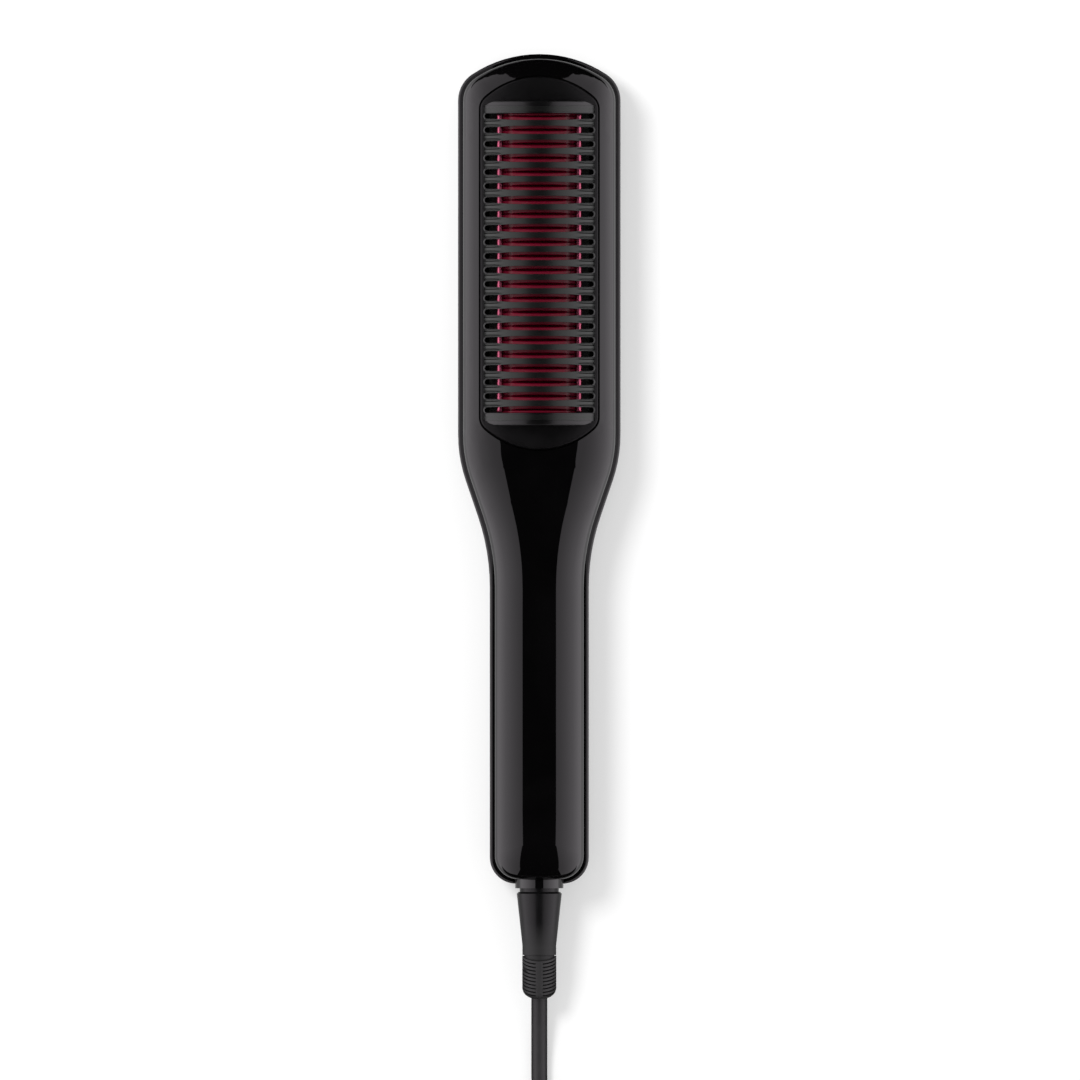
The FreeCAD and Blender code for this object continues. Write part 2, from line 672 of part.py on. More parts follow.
def heater_plate():
    middle, length = (PLATE_START + PLATE_END) / 2, PLATE_END - PLATE_START
    lip = box(0, middle, PLATE_BASE, PLATE_WIDTH + 2 * PLATE_LIP, length, PLATE_LIP_THICK)
    block = box(0, middle, PLATE_BASE, PLATE_WIDTH, length, PLATE_THICK)
    rail_length = LAST_SLOT - FIRST_SLOT + SLOT_WIDTH - 2 * PLATE_GAP
    rail = box(0, HEAD_MIDDLE, PLATE_TOP, RAIL_WIDTH, rail_length, RAIL_HEIGHT)
    crest = [edge for edge in rail.Edges if edge.BoundBox.ZMin > PLATE_TOP + RUN_FIT]
    rail = rail.makeFillet(RAIL_ROUND, crest)
    rails = [rail.translated(FreeCAD.Vector(side * RAIL_X, 0, 0)) for side in (-1, 1)]
    bosses = [post(x, d, FLOOR_TOP, PLATE_BASE, PLATE_BOSS_RADIUS) for x, d in PLATE_BOSSES]
    bore_top = FLOOR_BASE + SMALL_LENGTH + SCREW_FIT
    bores = [post(x, d, FLOOR_TOP, bore_top, SMALL_SHAFT_RADIUS + RUN_FIT) for x, d in PLATE_BOSSES]
    return join([lip, block, *rails, *bosses]).cut(bores)


def heater_carrier():
    outer_half = PLATE_WIDTH / 2 + PLATE_LIP - CARRIER_GAP + CARRIER_WALL
    start, end = PLATE_START - CARRIER_WALL, PLATE_END
    middle, length = (start + end) / 2, end - start
    height = PLATE_BASE - FLOOR_BASE
    tray = box(0, middle, FLOOR_BASE, 2 * outer_half, length, height)
    room = box(0, middle + CARRIER_WALL, FLOOR_TOP, 2 * (outer_half - CARRIER_WALL), length, height)
    bores = [post(x, d, FLOOR_BASE, FLOOR_TOP, SMALL_SHAFT_RADIUS + SCREW_FIT) for x, d in PLATE_BOSSES]
    return tray.cut([room, *bores])


def ceramic_heater():
    return box(0, HEAD_MIDDLE, PLATE_BASE - CERAMIC_THICK, CERAMIC_WIDTH, CERAMIC_LENGTH, CERAMIC_THICK)


def mica_sheet():
    width, length = CERAMIC_WIDTH + 2 * MICA_OVER, CERAMIC_LENGTH + 2 * MICA_OVER
    return box(0, HEAD_MIDDLE, MICA_BASE, width, length, MICA_THICK)


def bowed_strip(span, base, crown, thickness, width, across):
    """A bowed leaf from base up to crown; across lays its span across the comb, otherwise along it."""

    def place(offset, z):
        return FreeCAD.Vector(offset, 0, z) if across else FreeCAD.Vector(0, offset, z)

    half = span / 2
    top = stretch(place(-half, base + thickness), place(0, crown), place(half, base + thickness))
    under = stretch(place(half, base), place(0, crown - thickness), place(-half, base))
    ends = [
        stretch(place(half, base + thickness), None, place(half, base)),
        stretch(place(-half, base), None, place(-half, base + thickness)),
    ]
    face = Part.Face(Part.Wire([top, ends[0], under, ends[1]]))
    side = FreeCAD.Vector(0, width, 0) if across else FreeCAD.Vector(width, 0, 0)
    return face.extrude(side).translated(side * -0.5)


def clamp_spring():
    leaf = bowed_strip(SPRING_LENGTH, FLOOR_TOP, MICA_BASE, SPRING_THICK, SPRING_WIDTH, False)
    return leaf.translated(at(0, HEAD_MIDDLE, 0))


def lying_cylinder(x, middle, z, radius, length):
    return Part.makeCylinder(radius, length, at(x, middle - length / 2, z), ALONG)


def fuse_height():
    return PLATE_BASE - SENSOR_GAP - FUSE_DIAMETER / 2


def bead_height():
    return PLATE_BASE - SENSOR_GAP - BEAD_DIAMETER / 2


def thermal_fuse():
    can = lying_cylinder(SENSOR_X, HEAD_MIDDLE, fuse_height(), FUSE_DIAMETER / 2, FUSE_LENGTH)
    return can.makeFillet(FUSE_DIAMETER / 6, can.Edges)


def thermistor():
    bead = lying_cylinder(-SENSOR_X, HEAD_MIDDLE, bead_height(), BEAD_DIAMETER / 2, BEAD_LENGTH)
    return bead.makeFillet(BEAD_DIAMETER / 3, bead.Edges)


def screw(x, distance, seat, length, head_radius, head_height, shaft_radius, way):
    """A screw whose head bears on seat; way is +1 where it goes in upwards and -1 downwards."""
    axis = UP * way
    head = Part.makeCylinder(head_radius, head_height, at(x, distance, seat) - axis * head_height, axis)
    face = seat - way * head_height
    base = face if way > 0 else face - DRIVE_DEPTH
    drive = [
        box(x, distance, base, 2 * head_radius - DRIVE_WIDTH * 2, DRIVE_WIDTH, DRIVE_DEPTH),
        box(x, distance, base, DRIVE_WIDTH, 2 * head_radius - DRIVE_WIDTH * 2, DRIVE_DEPTH),
    ]
    shaft = Part.makeCylinder(shaft_radius, length, at(x, distance, seat), axis)
    return head.cut(drive).fuse(shaft).removeSplitter()


def shell_screws():
    return Part.makeCompound(
        [
            screw(x, d, SCREW_SEAT, SCREW_LENGTH, SCREW_HEAD_RADIUS, SCREW_HEAD_HEIGHT, SCREW_SHAFT_RADIUS, 1)
            for x, d in GUARD_BOSSES + GRIP_BOSSES
        ]
    )


def small_screws(places, seat, way):
    return Part.makeCompound(
        [
            screw(x, d, seat, SMALL_LENGTH, SMALL_HEAD_RADIUS, SMALL_HEAD_HEIGHT, SMALL_SHAFT_RADIUS, way)
            for x, d in places
        ]
    )


def heater_screws():
    return small_screws(PLATE_BOSSES, FLOOR_BASE, 1)


def board_screws():
    return small_screws(BOARD_POSTS, BOARD_TOP, -1)


def control_bezel():
    middle = CONTROL_START + CONTROL_LENGTH / 2
    plate = oblong(middle, CONTROL_LENGTH, BEZEL_WIDTH, BEZEL_WIDTH, BEZEL_SUNK, RECESS)
    cuts = [oblong(LENS_PLACE, LENS_LENGTH, LENS_WIDTH, LENS_CORNER, BEZEL_SUNK, RECESS)]
    cuts += [post(0, place, BEZEL_SUNK, RECESS, radius + SLIP_FIT) for place, radius in BUTTONS.values()]
    return plate.cut(cuts)


def display_lens():
    length, width = LENS_LENGTH - 2 * SLIP_FIT, LENS_WIDTH - 2 * SLIP_FIT
    return oblong(LENS_PLACE, length, width, LENS_CORNER, BUTTON_SUNK, RECESS)


def display_module():
    base = PAD_TOP + DISPLAY_GAP
    return box(0, LENS_PLACE, base, DISPLAY_WIDTH, DISPLAY_LENGTH, BOARD_BASE - base)


def button(name):
    place, radius = BUTTONS[name]
    cap = post(0, place, BUTTON_SUNK, BUTTON_BACK, radius)
    face_edges = [edge for edge in cap.Edges if edge.BoundBox.ZMax < BUTTON_SUNK + RUN_FIT]
    cap = cap.makeFillet(BUTTON_ROUND, face_edges)
    flange = post(0, place, BUTTON_FLANGE_BASE, BUTTON_BACK, radius + BUTTON_FLANGE_OUT)
    return join([cap, flange])


def plunger_top():
    return BOARD_BASE - SWITCH_BACK - BUTTON_TRAVEL - SLIP_FIT


def plunger(name):
    place, _ = BUTTONS[name]
    return post(0, place, BUTTON_BACK, plunger_top(), PLUNGER_RADIUS)


def tact_switches():
    switches = []
    for place, _ in BUTTONS.values():
        case = box(0, place, BOARD_BASE - SWITCH_HEIGHT, SWITCH_SIDE, SWITCH_SIDE, SWITCH_HEIGHT)
        bore = post(0, place, BOARD_BASE - SWITCH_HEIGHT, BOARD_BASE - SWITCH_BACK, PLUNGER_RADIUS + SLIP_FIT)
        switches.append(case.cut(bore))
    return Part.makeCompound(switches)


def control_board():
    middle = BOARD_START + BOARD_LENGTH / 2
    plate = oblong(middle, BOARD_LENGTH, BOARD_WIDTH, BOARD_CORNER, BOARD_BASE, BOARD_TOP)
    bore = SMALL_SHAFT_RADIUS + SCREW_FIT
    return plate.cut([post(x, d, BOARD_BASE, BOARD_TOP, bore) for x, d in BOARD_POSTS])


def film_capacitor():
    case = box(*FILM_PLACE, BOARD_TOP, *FILM_SIZE)
    rounded = [edge for edge in case.Edges if edge.BoundBox.ZMax > BOARD_TOP + FILM_ROUND]
    return case.makeFillet(FILM_ROUND, rounded)


def smoothing_capacitor():
    can = post(*CAN_PLACE, BOARD_TOP, BOARD_TOP + CAN_HEIGHT, CAN_RADIUS)
    rounded = [edge for edge in can.Edges if edge.BoundBox.ZMin > BOARD_TOP + FILM_ROUND]
    return can.makeFillet(FILM_ROUND, rounded)


def triac():
    x, d = TRIAC_PLACE
    case = box(x, d, BOARD_TOP, *TRIAC_SIZE)
    tab_middle = d + (TRIAC_SIZE[1] + TRIAC_TAB[1]) / 2
    tab = box(x, tab_middle, BOARD_TOP, *TRIAC_TAB)
    hole = post(x, tab_middle, BOARD_TOP, BOARD_TOP + TRIAC_TAB[2], TRIAC_HOLE_RADIUS)
    return join([case, tab]).cut(hole)


def board_fuse():
    x, d = LINK_PLACE
    link = lying_cylinder(x, d, BOARD_TOP + LINK_RADIUS, LINK_RADIUS, LINK_LENGTH)
    return link.makeFillet(FILM_ROUND, [edge for edge in link.Edges if edge.BoundBox.YLength < RUN_FIT])


def microcontroller():
    x, d = CHIP_PLACE
    width, length, height = CHIP_SIZE
    case = box(x, d, BOARD_TOP, width, length, height)
    first = d - (CHIP_LEGS - 1) / 2 * CHIP_LEG_PITCH
    legs = [
        box(x, first + index * CHIP_LEG_PITCH, BOARD_TOP, width + 2 * CHIP_LEG_REACH, CHIP_LEG, CHIP_LEG)
        for index in range(CHIP_LEGS)
    ]
    return join([case, *legs])


def lathe(profile):
    """A solid turned about the swivel's axis from (distance, radius) corners."""
    points = [at(0, d, PARTING + radius) for d, radius in profile]
    face = Part.Face(Part.makePolygon(points + points[:1]))
    return face.revolve(at(0, 0, PARTING), ALONG, 360)


def swivel_collar():
    flange_end = SADDLE_END - SADDLE_THICK
    end = HOUSING_LENGTH + COLLAR_PROUD
    bore = NECK_RADIUS + RUN_FIT
    return lathe(
        [
            (COLLAR_INNER, bore),
            (COLLAR_INNER, COLLAR_FLANGE_RADIUS),
            (flange_end, COLLAR_FLANGE_RADIUS),
            (flange_end, COLLAR_RADIUS),
            (end, COLLAR_RADIUS),
            (end, bore),
        ]
    )


def swivel_sleeve():
    body = lathe(
        [
            (HUB_END, 0),
            (HUB_END, HUB_SPACER_RADIUS),
            (HUB_END + HUB_SPACER, HUB_SPACER_RADIUS),
            (HUB_END + HUB_SPACER, HUB_RADIUS),
            (FAR_RING, HUB_RADIUS),
            (FAR_RING, HUB_SPACER_RADIUS),
            (FAR_RING + HUB_SPACER, HUB_SPACER_RADIUS),
            (FAR_RING + HUB_SPACER, HUB_RADIUS),
            (NEAR_RING, HUB_RADIUS),
            (NEAR_RING, HUB_SPACER_RADIUS),
            (STOP_START, HUB_SPACER_RADIUS),
            (STOP_START, STOP_RADIUS),
            (STOP_END, STOP_RADIUS),
            (STOP_END, NECK_RADIUS),
            (SLEEVE_TOP, NECK_RADIUS),
            (SLEEVE_TOP, SLEEVE_RADIUS - SLEEVE_ROUND),
            (SLEEVE_TOP + SLEEVE_ROUND, SLEEVE_RADIUS),
            (BALL_PLACE - SLEEVE_CUFF, SLEEVE_END_RADIUS),
            (BALL_PLACE, SLEEVE_END_RADIUS),
            (BALL_PLACE, 0),
        ]
    )
    return join([body, Part.makeSphere(BALL_RADIUS, at(0, BALL_PLACE, PARTING))])


def slip_rings():
    rings = []
    for end in (FAR_RING, NEAR_RING):
        start = end - RING_WIDTH
        corners = [(start, HUB_RADIUS), (start, RING_RADIUS), (end, RING_RADIUS), (end, HUB_RADIUS)]
        rings.append(lathe(corners))
    return Part.makeCompound(rings)


def contact_block():
    return box(0, (HUB_END + STOP_START) / 2, WALL, BLOCK_WIDTH, STOP_START - HUB_END, BLOCK_HEIGHT)


def contact_springs():
    crown = PARTING - RING_RADIUS - LEAF_GAP
    leaf = bowed_strip(LEAF_SPAN, WALL + BLOCK_HEIGHT, crown, LEAF_THICK, LEAF_WIDTH, True)
    middles = [end - RING_WIDTH / 2 for end in (FAR_RING, NEAR_RING)]
    return Part.makeCompound([leaf.translated(at(0, middle, 0)) for middle in middles])


def leaning(shape):
    """A shape made about the ball's centre along the comb, leaned back about that centre."""
    return shape.rotated(at(0, BALL_PLACE, PARTING), FreeCAD.Vector(1, 0, 0), LEAN)


def relief_point(reach):
    """A point on the leaning cord guard's axis."""
    slope = math.radians(LEAN)
    return at(0, BALL_PLACE + reach * math.cos(slope), PARTING - reach * math.sin(slope))


def relief_radius(reach):
    """The cord guard's outer radius: straight at first, then drawn in along a quarter ellipse."""
    share = max(0.0, reach - RELIEF_LENGTH + RELIEF_DOME) / RELIEF_DOME
    return RELIEF_MOUTH + (RELIEF_RADIUS - RELIEF_MOUTH) * math.sqrt(max(0.0, 1 - share**2))


def cord_guard():
    dome_steps = [RELIEF_LENGTH - RELIEF_DOME * (1 - step / RELIEF_STEPS) for step in range(RELIEF_STEPS + 1)]
    envelope = [(0, 0), (0, RELIEF_RADIUS)]
    envelope += [(reach, relief_radius(reach)) for reach in dome_steps]
    envelope.append((RELIEF_LENGTH, 0))
    smooth = lathe([(BALL_PLACE + reach, radius) for reach, radius in envelope])
    grooves = []
    for index in range(GROOVE_COUNT):
        start = GROOVE_START + index * GROOVE_PITCH
        end = start + GROOVE_WIDTH
        floor = relief_radius(end) - GROOVE_DEPTH
        corners = [(start, floor), (start, 2 * RELIEF_RADIUS), (end, 2 * RELIEF_RADIUS), (end, floor)]
        grooves.append(lathe([(BALL_PLACE + reach, radius) for reach, radius in corners]))
    spine = box(0, BALL_PLACE + RELIEF_LENGTH / 2, 0, SPINE_WIDTH, RELIEF_LENGTH, 2 * PARTING)
    guard = leaning(join([smooth.cut(grooves), smooth.common(spine)]))
    width = 2 * RELIEF_RADIUS
    behind = box(0, BALL_PLACE + BALL_GAP - width / 2, 0, 2 * width, width, 2 * PARTING)
    return guard.cut([Part.makeSphere(BALL_RADIUS + BALL_GAP, at(0, BALL_PLACE, PARTING)), behind])


def tube(points, radius, name):
    """A round tube along straight runs joined by arcs as large as the runs allow, from points by hand."""
    edges = []
    reached = points[0]
    radii = []
    for before, corner, after in zip(points, points[1:], points[2:]):
        back, on = before - corner, after - corner
        shorter = min(back.Length, on.Length)
        back, on = back.normalize(), on.normalize()
        cut = BEND_SHARE * shorter
        start, end = corner + back * cut, corner + on * cut
        half_turn = (math.pi - back.getAngle(on)) / 2
        bend = cut / math.tan(half_turn)
        inward = (back + on).normalize()
        middle = corner + inward * (bend / math.cos(half_turn) - bend)
        edges += [stretch(reached, None, start), stretch(start, middle, end)]
        reached = end
        radii.append(round(bend, 1))
    edges.append(stretch(reached, None, points[-1]))
    path = Part.Wire(edges)
    ring = Part.Wire(Part.Circle(points[0], points[1] - points[0], radius).toShape())
    solid = path.makePipeShell([ring], True, False)
    share = solid.Volume / (math.pi * radius**2 * path.Length)
    print(name, "length", round(path.Length, 1), "bend radii", radii, "volume share", round(share, 4))
    return solid


def heater_leads():
    z = fuse_height()
    fuse_end = HEAD_MIDDLE + FUSE_LENGTH / 2
    heater_end = HEAD_MIDDLE + CERAMIC_LENGTH / 2
    fused = [
        (SENSOR_X, fuse_end, z),
        (SENSOR_X, GUARD_END - 27.2, z),
        (4.0, GUARD_END - 15.7, 18.6),
        (3.8, GUARD_END - 1.7, 16.0),
        (7.4, NECK_SCREW - 6.0, 12.4),
        (6.8, NECK_SCREW + 8.0, 11.6),
        (3.6, BOARD_START + 8.0, 10.4),
    ]
    heated = PLATE_BASE - CERAMIC_THICK / 2
    plain = [
        (-3.0, heater_end, heated),
        (-3.0, GUARD_END - 21.7, heated),
        (-1.6, GUARD_END - 11.7, 18.4),
        (-1.4, GUARD_END + 0.3, 15.0),
        (-5.4, NECK_SCREW - 5.0, 12.0),
        (-5.0, NECK_SCREW + 9.0, 11.4),
        (-0.6, BOARD_START + 8.0, 10.4),
    ]
    runs = [[at(*place) for place in run] for run in (fused, plain)]
    return Part.makeCompound([tube(points, LEAD_RADIUS, "heater lead") for points in runs])


def sensor_leads():
    start = HEAD_MIDDLE + BEAD_LENGTH / 2
    run = [
        (-SENSOR_X, start, bead_height()),
        (-SENSOR_X, GUARD_END - 27.2, bead_height()),
        (-4.4, GUARD_END - 15.7, 18.4),
        (-4.2, GUARD_END - 1.7, 15.6),
        (-8.0, NECK_SCREW - 6.0, 12.2),
        (-7.4, NECK_SCREW + 8.0, 11.2),
        (-4.4, BOARD_START + 8.0, 10.1),
    ]
    apart = FINE_RADIUS + RUN_FIT
    pair = [[at(x + side * apart, d, z) for x, d, z in run] for side in (-1, 1)]
    return Part.makeCompound([tube(points, FINE_RADIUS, "sensor lead") for points in pair])


def supply_leads():
    runs = []
    for side in (-1, 1):
        places = [
            (5.4, HUB_END, 4.4),
            (5.4, GRIP_SCREW + 6.0, 4.4),
            (6.0, GRIP_SCREW + 1.0, 7.4),
            (5.6, GRIP_SCREW - 4.5, 10.6),
            (3.6, BOARD_END - 4.0, 10.5),
            (2.8, BOARD_END - 11.0, 10.4),
        ]
        runs.append([at(side * x, d, z) for x, d, z in places])
    return Part.makeCompound([tube(points, LEAD_RADIUS, "supply lead") for points in runs])


def biarc(start, start_way, end, end_way):
    """Two arcs that join two points and leave and reach them along the given directions."""
    chord = end - start
    ways = start_way + end_way
    along = chord.dot(ways)
    square = 2 * (1 - start_way.dot(end_way))
    if square < 1e-9:
        reach = chord.dot(chord) / (4 * chord.dot(end_way))
    else:
        reach = (-along + math.sqrt(along**2 + square * chord.dot(chord))) / square
    joint = (start + end + (start_way - end_way) * reach) * 0.5
    return [tangent_arc(start, start_way, joint), tangent_arc(end, end_way * -1, joint, True)]


def tangent_arc(start, way, end, backwards=False):
    """The arc that leaves start along way and reaches end, drawn from end where backwards is set."""
    chord = end - start
    side = chord - way * chord.dot(way)
    radius = chord.dot(chord) / (2 * side.Length)
    inward = side.normalize()
    centre = start + inward * radius
    outward = ((start + end) * 0.5 - centre).normalize()
    middle = centre + outward * radius
    return stretch(end, middle, start) if backwards else stretch(start, middle, end)


def coil_layers():
    """Node number at which each layer of the coil ends."""
    ends = []
    for quarters in COIL_QUARTERS:
        ends.append(quarters + (ends[-1] if ends else 0))
    return ends


def coil_pitch():
    return CORD_DIAMETER + COIL_GAP


def coil_state(node):
    """Radius and layer height at a quarter-turn node, counted as a fraction within a climb."""
    radius = COIL_INNER_RADIUS + coil_pitch() * COIL_QUARTERS[0] / 4
    inward = True
    done = 0
    for quarters in COIL_QUARTERS:
        steps = min(max(node - done, 0), quarters)
        radius += (-1 if inward else 1) * coil_pitch() * steps / 4
        done += quarters
        inward = not inward
    height = 0.0
    for end in coil_layers()[:-1]:
        height += min(max((node - end + 1) / 2, 0), 1)
    return radius, height


def coil_entry():
    """Where the cord reaches the coil: two even turns after it bends off the straight."""
    first, second = math.radians(COIL_ENTRY_ANGLE / 2), math.radians(COIL_ENTRY_ANGLE)
    x = RUN_STEP * (math.sin(first) + math.sin(second))
    y = RUN_BEND_Y - RUN_STEP * (math.cos(first) + math.cos(second))
    return FreeCAD.Vector(x, y, CORD_FLOOR + COIL_LIFT)


def coil_centre():
    radius, _ = coil_state(0)
    angle = math.radians(COIL_ENTRY_ANGLE)
    return coil_entry() - FreeCAD.Vector(math.cos(angle), math.sin(angle), 0) * radius


def coil_node(node):
    """Point and direction of the coil at a quarter-turn node; it runs clockwise seen from above."""
    radius, height = coil_state(node)
    angle = math.radians(COIL_ENTRY_ANGLE - 90 * node)
    out = FreeCAD.Vector(math.cos(angle), math.sin(angle), 0)
    way = FreeCAD.Vector(math.sin(angle), -math.cos(angle), 0)
    _, before = coil_state(node - 1)
    _, after = coil_state(node + 1)
    climb = coil_pitch() * (after - before) / (math.pi * radius)
    point = coil_centre() + out * radius + UP * (coil_pitch() * height)
    return point, (way + UP * climb).normalize()


def coil_path():
    nodes = [coil_node(node) for node in range(coil_layers()[-1] + 1)]
    edges = []
    for (start, start_way), (end, end_way) in zip(nodes, nodes[1:]):
        edges += biarc(start, start_way, end, end_way)
    return Part.Wire(edges)


def least_gap(path, diameter):
    """The smallest distance between two stretches of the tube that are not neighbours along it."""
    points = path.discretize(Distance=diameter / 2)
    skip = int(4 * math.pi)
    least = math.inf
    for index, point in enumerate(points):
        for other in points[index + skip :]:
            least = min(least, point.distanceToPoint(other))
    return least - diameter


def cord_coil():
    path = coil_path()
    start, way = coil_node(0)
    ring = Part.Wire(Part.Circle(start, way, CORD_DIAMETER / 2).toShape())
    print("cord coil length", round(path.Length, 1), "least gap", round(least_gap(path, CORD_DIAMETER), 2))
    return path.makePipeShell([ring], True, False)


def cord_run():
    """From the cord guard down to the floor, straight on, and round into the coil."""
    slope = math.radians(LEAN)
    mouth = relief_point(RELIEF_LENGTH)
    drop = mouth.z - CORD_FLOOR
    landing = FreeCAD.Vector(0, mouth.y - drop / math.tan(slope), CORD_FLOOR)
    first = math.radians(COIL_ENTRY_ANGLE / 2)
    bend = FreeCAD.Vector(0, RUN_BEND_Y, CORD_FLOOR)
    turn = bend + FreeCAD.Vector(math.sin(first), -math.cos(first), 0) * RUN_STEP + UP * COIL_LIFT
    return tube([mouth, landing, bend, turn, coil_entry()], CORD_DIAMETER / 2, "cord run")


def tail_points():
    start, way = coil_node(coil_layers()[-1])
    slope = math.radians(TAIL_SLOPE)
    drop = start.z - PLUG_THICK / 2
    down = start + way * TAIL_STEP
    landing = down + way * (drop / math.tan(slope)) - UP * drop
    return [start, down, landing, landing + way * TAIL_STEP]


def cord_tail():
    return tube(tail_points(), CORD_DIAMETER / 2, "cord tail")


def cord_tie():
    """A strap round the coil's bundle of turns."""
    radii = [coil_state(node)[0] for node in range(coil_layers()[-1])]
    room = CORD_DIAMETER / 2 + TIE_GAP
    inner, outer = min(radii) - room, max(radii) + room
    base = TIE_THICK
    height = CORD_FLOOR + COIL_LIFT + coil_pitch() * (len(COIL_QUARTERS) - 1) + room - base

    def band(grow):
        corner = FreeCAD.Vector(inner - grow, -TIE_WIDTH / 2, base - grow)
        block = Part.makeBox(outer - inner + 2 * grow, TIE_WIDTH, height + 2 * grow, corner)
        lengthwise = [edge for edge in block.Edges if edge.BoundBox.YLength > TIE_WIDTH / 2]
        return block.makeFillet(TIE_ROUND + grow, lengthwise)

    strap = band(TIE_THICK).cut(band(0))
    strap.rotate(FreeCAD.Vector(0, 0, 0), UP, TIE_ANGLE)
    centre = coil_centre()
    return strap.translated(FreeCAD.Vector(centre.x, centre.y, 0))


def on_plug(shape):
    """A shape made along +X from the cord's end, laid where the plug lies."""
    points = tail_points()
    way = points[-1] - points[-2]
    shape.rotate(FreeCAD.Vector(0, 0, 0), UP, math.degrees(math.atan2(way.y, way.x)))
    return shape.translated(points[-1])


def plug_section(reach, width, height, corner):
    """A rounded rectangle across the plug's axis."""
    y, z = width / 2, height / 2
    block = Part.makeBox(1, width, height, FreeCAD.Vector(reach, -y, -z))
    block = block.makeFillet(corner, [edge for edge in block.Edges if edge.BoundBox.XLength > RUN_FIT])
    return min(block.Faces, key=lambda face: face.CenterOfMass.x).OuterWire


def plug_body():
    mouth = CORD_DIAMETER / 2 + SEAM_GAP
    start, forward = FreeCAD.Vector(0, 0, 0), FreeCAD.Vector(1, 0, 0)
    neck = Part.makeCone(mouth, PLUG_NECK_RADIUS, PLUG_NECK, start, forward)
    back = plug_section(PLUG_NECK, PLUG_WIDTH * 2 / 3, PLUG_THICK * 3 / 4, PLUG_ROUND * 2 / 3)
    swell = plug_section(PLUG_NECK + PLUG_LENGTH / 2, PLUG_WIDTH, PLUG_THICK, PLUG_ROUND)
    front = plug_section(PLUG_NECK + PLUG_LENGTH, PLUG_WIDTH, PLUG_THICK, PLUG_ROUND)
    return on_plug(join([neck, Part.makeLoft([back, swell, front], True, True)]))


def plug_blades():
    blades = []
    for side in (-1, 1):
        face = PLUG_NECK + PLUG_LENGTH
        corner = FreeCAD.Vector(face, (side * BLADE_SPACING - BLADE_THICK) / 2, -BLADE_WIDTH / 2)
        blade = Part.makeBox(BLADE_LENGTH, BLADE_THICK, BLADE_WIDTH, corner)
        tip_edges = [edge for edge in blade.Edges if edge.BoundBox.XMin > face + BLADE_LENGTH - RUN_FIT]
        across = [edge for edge in tip_edges if edge.BoundBox.YLength > BLADE_THICK / 2]
        blades.append(blade.makeFillet(BLADE_ROUND, across))
    return on_plug(Part.makeCompound(blades))


NODES = {
    "front_shell": front_shell,
    "rear_shell": rear_shell,
    "shell_screws": shell_screws,
    "comb_guard": comb_guard,
    "guard_ribs": guard_ribs,
    "heater_plate": heater_plate,
    "heater_fins": heater_fins,
    "heater_carrier": heater_carrier,
    "ceramic_heater": ceramic_heater,
    "mica_sheet": mica_sheet,
    "clamp_spring": clamp_spring,
    "thermal_fuse": thermal_fuse,
    "thermistor": thermistor,
    "heater_screws": heater_screws,
    "heater_leads": heater_leads,
    "sensor_leads": sensor_leads,
    "control_bezel": control_bezel,
    "display_lens": display_lens,
    "display_module": display_module,
    "power_button": lambda: button("power"),
    "power_plunger": lambda: plunger("power"),
    "temperature_up_button": lambda: button("up"),
    "temperature_up_plunger": lambda: plunger("up"),
    "temperature_down_button": lambda: button("down"),
    "temperature_down_plunger": lambda: plunger("down"),
    "tact_switches": tact_switches,
    "control_board": control_board,
    "board_screws": board_screws,
    "film_capacitor": film_capacitor,
    "smoothing_capacitor": smoothing_capacitor,
    "triac": triac,
    "board_fuse": board_fuse,
    "microcontroller": microcontroller,
    "supply_leads": supply_leads,
    "swivel_collar": swivel_collar,
    "swivel_sleeve": swivel_sleeve,
    "slip_rings": slip_rings,
    "contact_block": contact_block,
    "contact_springs": contact_springs,
    "cord_guard": cord_guard,
    "cord_run": cord_run,
    "cord_coil": cord_coil,
    "cord_tail": cord_tail,
    "cord_tie": cord_tie,
    "plug_body": plug_body,
    "plug_blades": plug_blades,
}

os.makedirs("parts", exist_ok=True)
for name, make in NODES.items():
    shape = make()
    print(name, "solids", len(shape.Solids), "valid", shape.isValid(), "volume", round(shape.Volume, 1))
    shape.exportStep(os.path.join("parts", name + ".step"))
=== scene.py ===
import bmesh
import bpy
import math
from mathutils import Matrix, Vector


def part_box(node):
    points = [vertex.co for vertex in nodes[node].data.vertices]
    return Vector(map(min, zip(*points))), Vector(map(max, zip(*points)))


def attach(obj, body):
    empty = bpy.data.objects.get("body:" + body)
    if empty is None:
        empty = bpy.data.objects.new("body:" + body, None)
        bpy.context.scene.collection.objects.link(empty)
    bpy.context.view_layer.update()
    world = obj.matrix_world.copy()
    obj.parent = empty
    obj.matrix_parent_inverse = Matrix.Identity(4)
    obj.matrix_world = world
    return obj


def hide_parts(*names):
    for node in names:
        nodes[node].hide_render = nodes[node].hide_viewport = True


# An electric hot comb that lies on its back on a white floor, seen from straight above.
# Metres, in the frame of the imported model: +Y to the head's tip, +Z out of the comb face.
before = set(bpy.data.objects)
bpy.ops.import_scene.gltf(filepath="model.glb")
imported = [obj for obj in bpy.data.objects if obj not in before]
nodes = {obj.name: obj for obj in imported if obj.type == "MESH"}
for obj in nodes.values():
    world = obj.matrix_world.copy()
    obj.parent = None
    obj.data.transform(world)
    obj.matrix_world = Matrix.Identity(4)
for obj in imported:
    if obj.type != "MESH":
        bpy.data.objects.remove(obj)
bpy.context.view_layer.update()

# Rear shell: the back half of the housing, one injection moulding in glossy black plastic. It carries
# all the bosses, and its rim stands a step proud of the front half, so the parting line is a groove.
MM = 0.001
BUMP_DEPTH = 0.2 * MM
MOULDED_SCALES = {"Grain scale": 1200.0, "Mark scale": 30.0}
TOOL_GRAIN = {"Detail": 2.0}
HANDLING = {"Detail": 5.0, "Roughness": 0.6, "Distortion": 0.4}
SMEARS = {"From Min": 0.45, "From Max": 0.75}
# The black materials' reflections get a faint mauve tint: a painted reflection colour that stands for the
# studio light's tint.
REFLECTION_PAINTED_TINT = (1.0, 0.93, 1.0, 1)
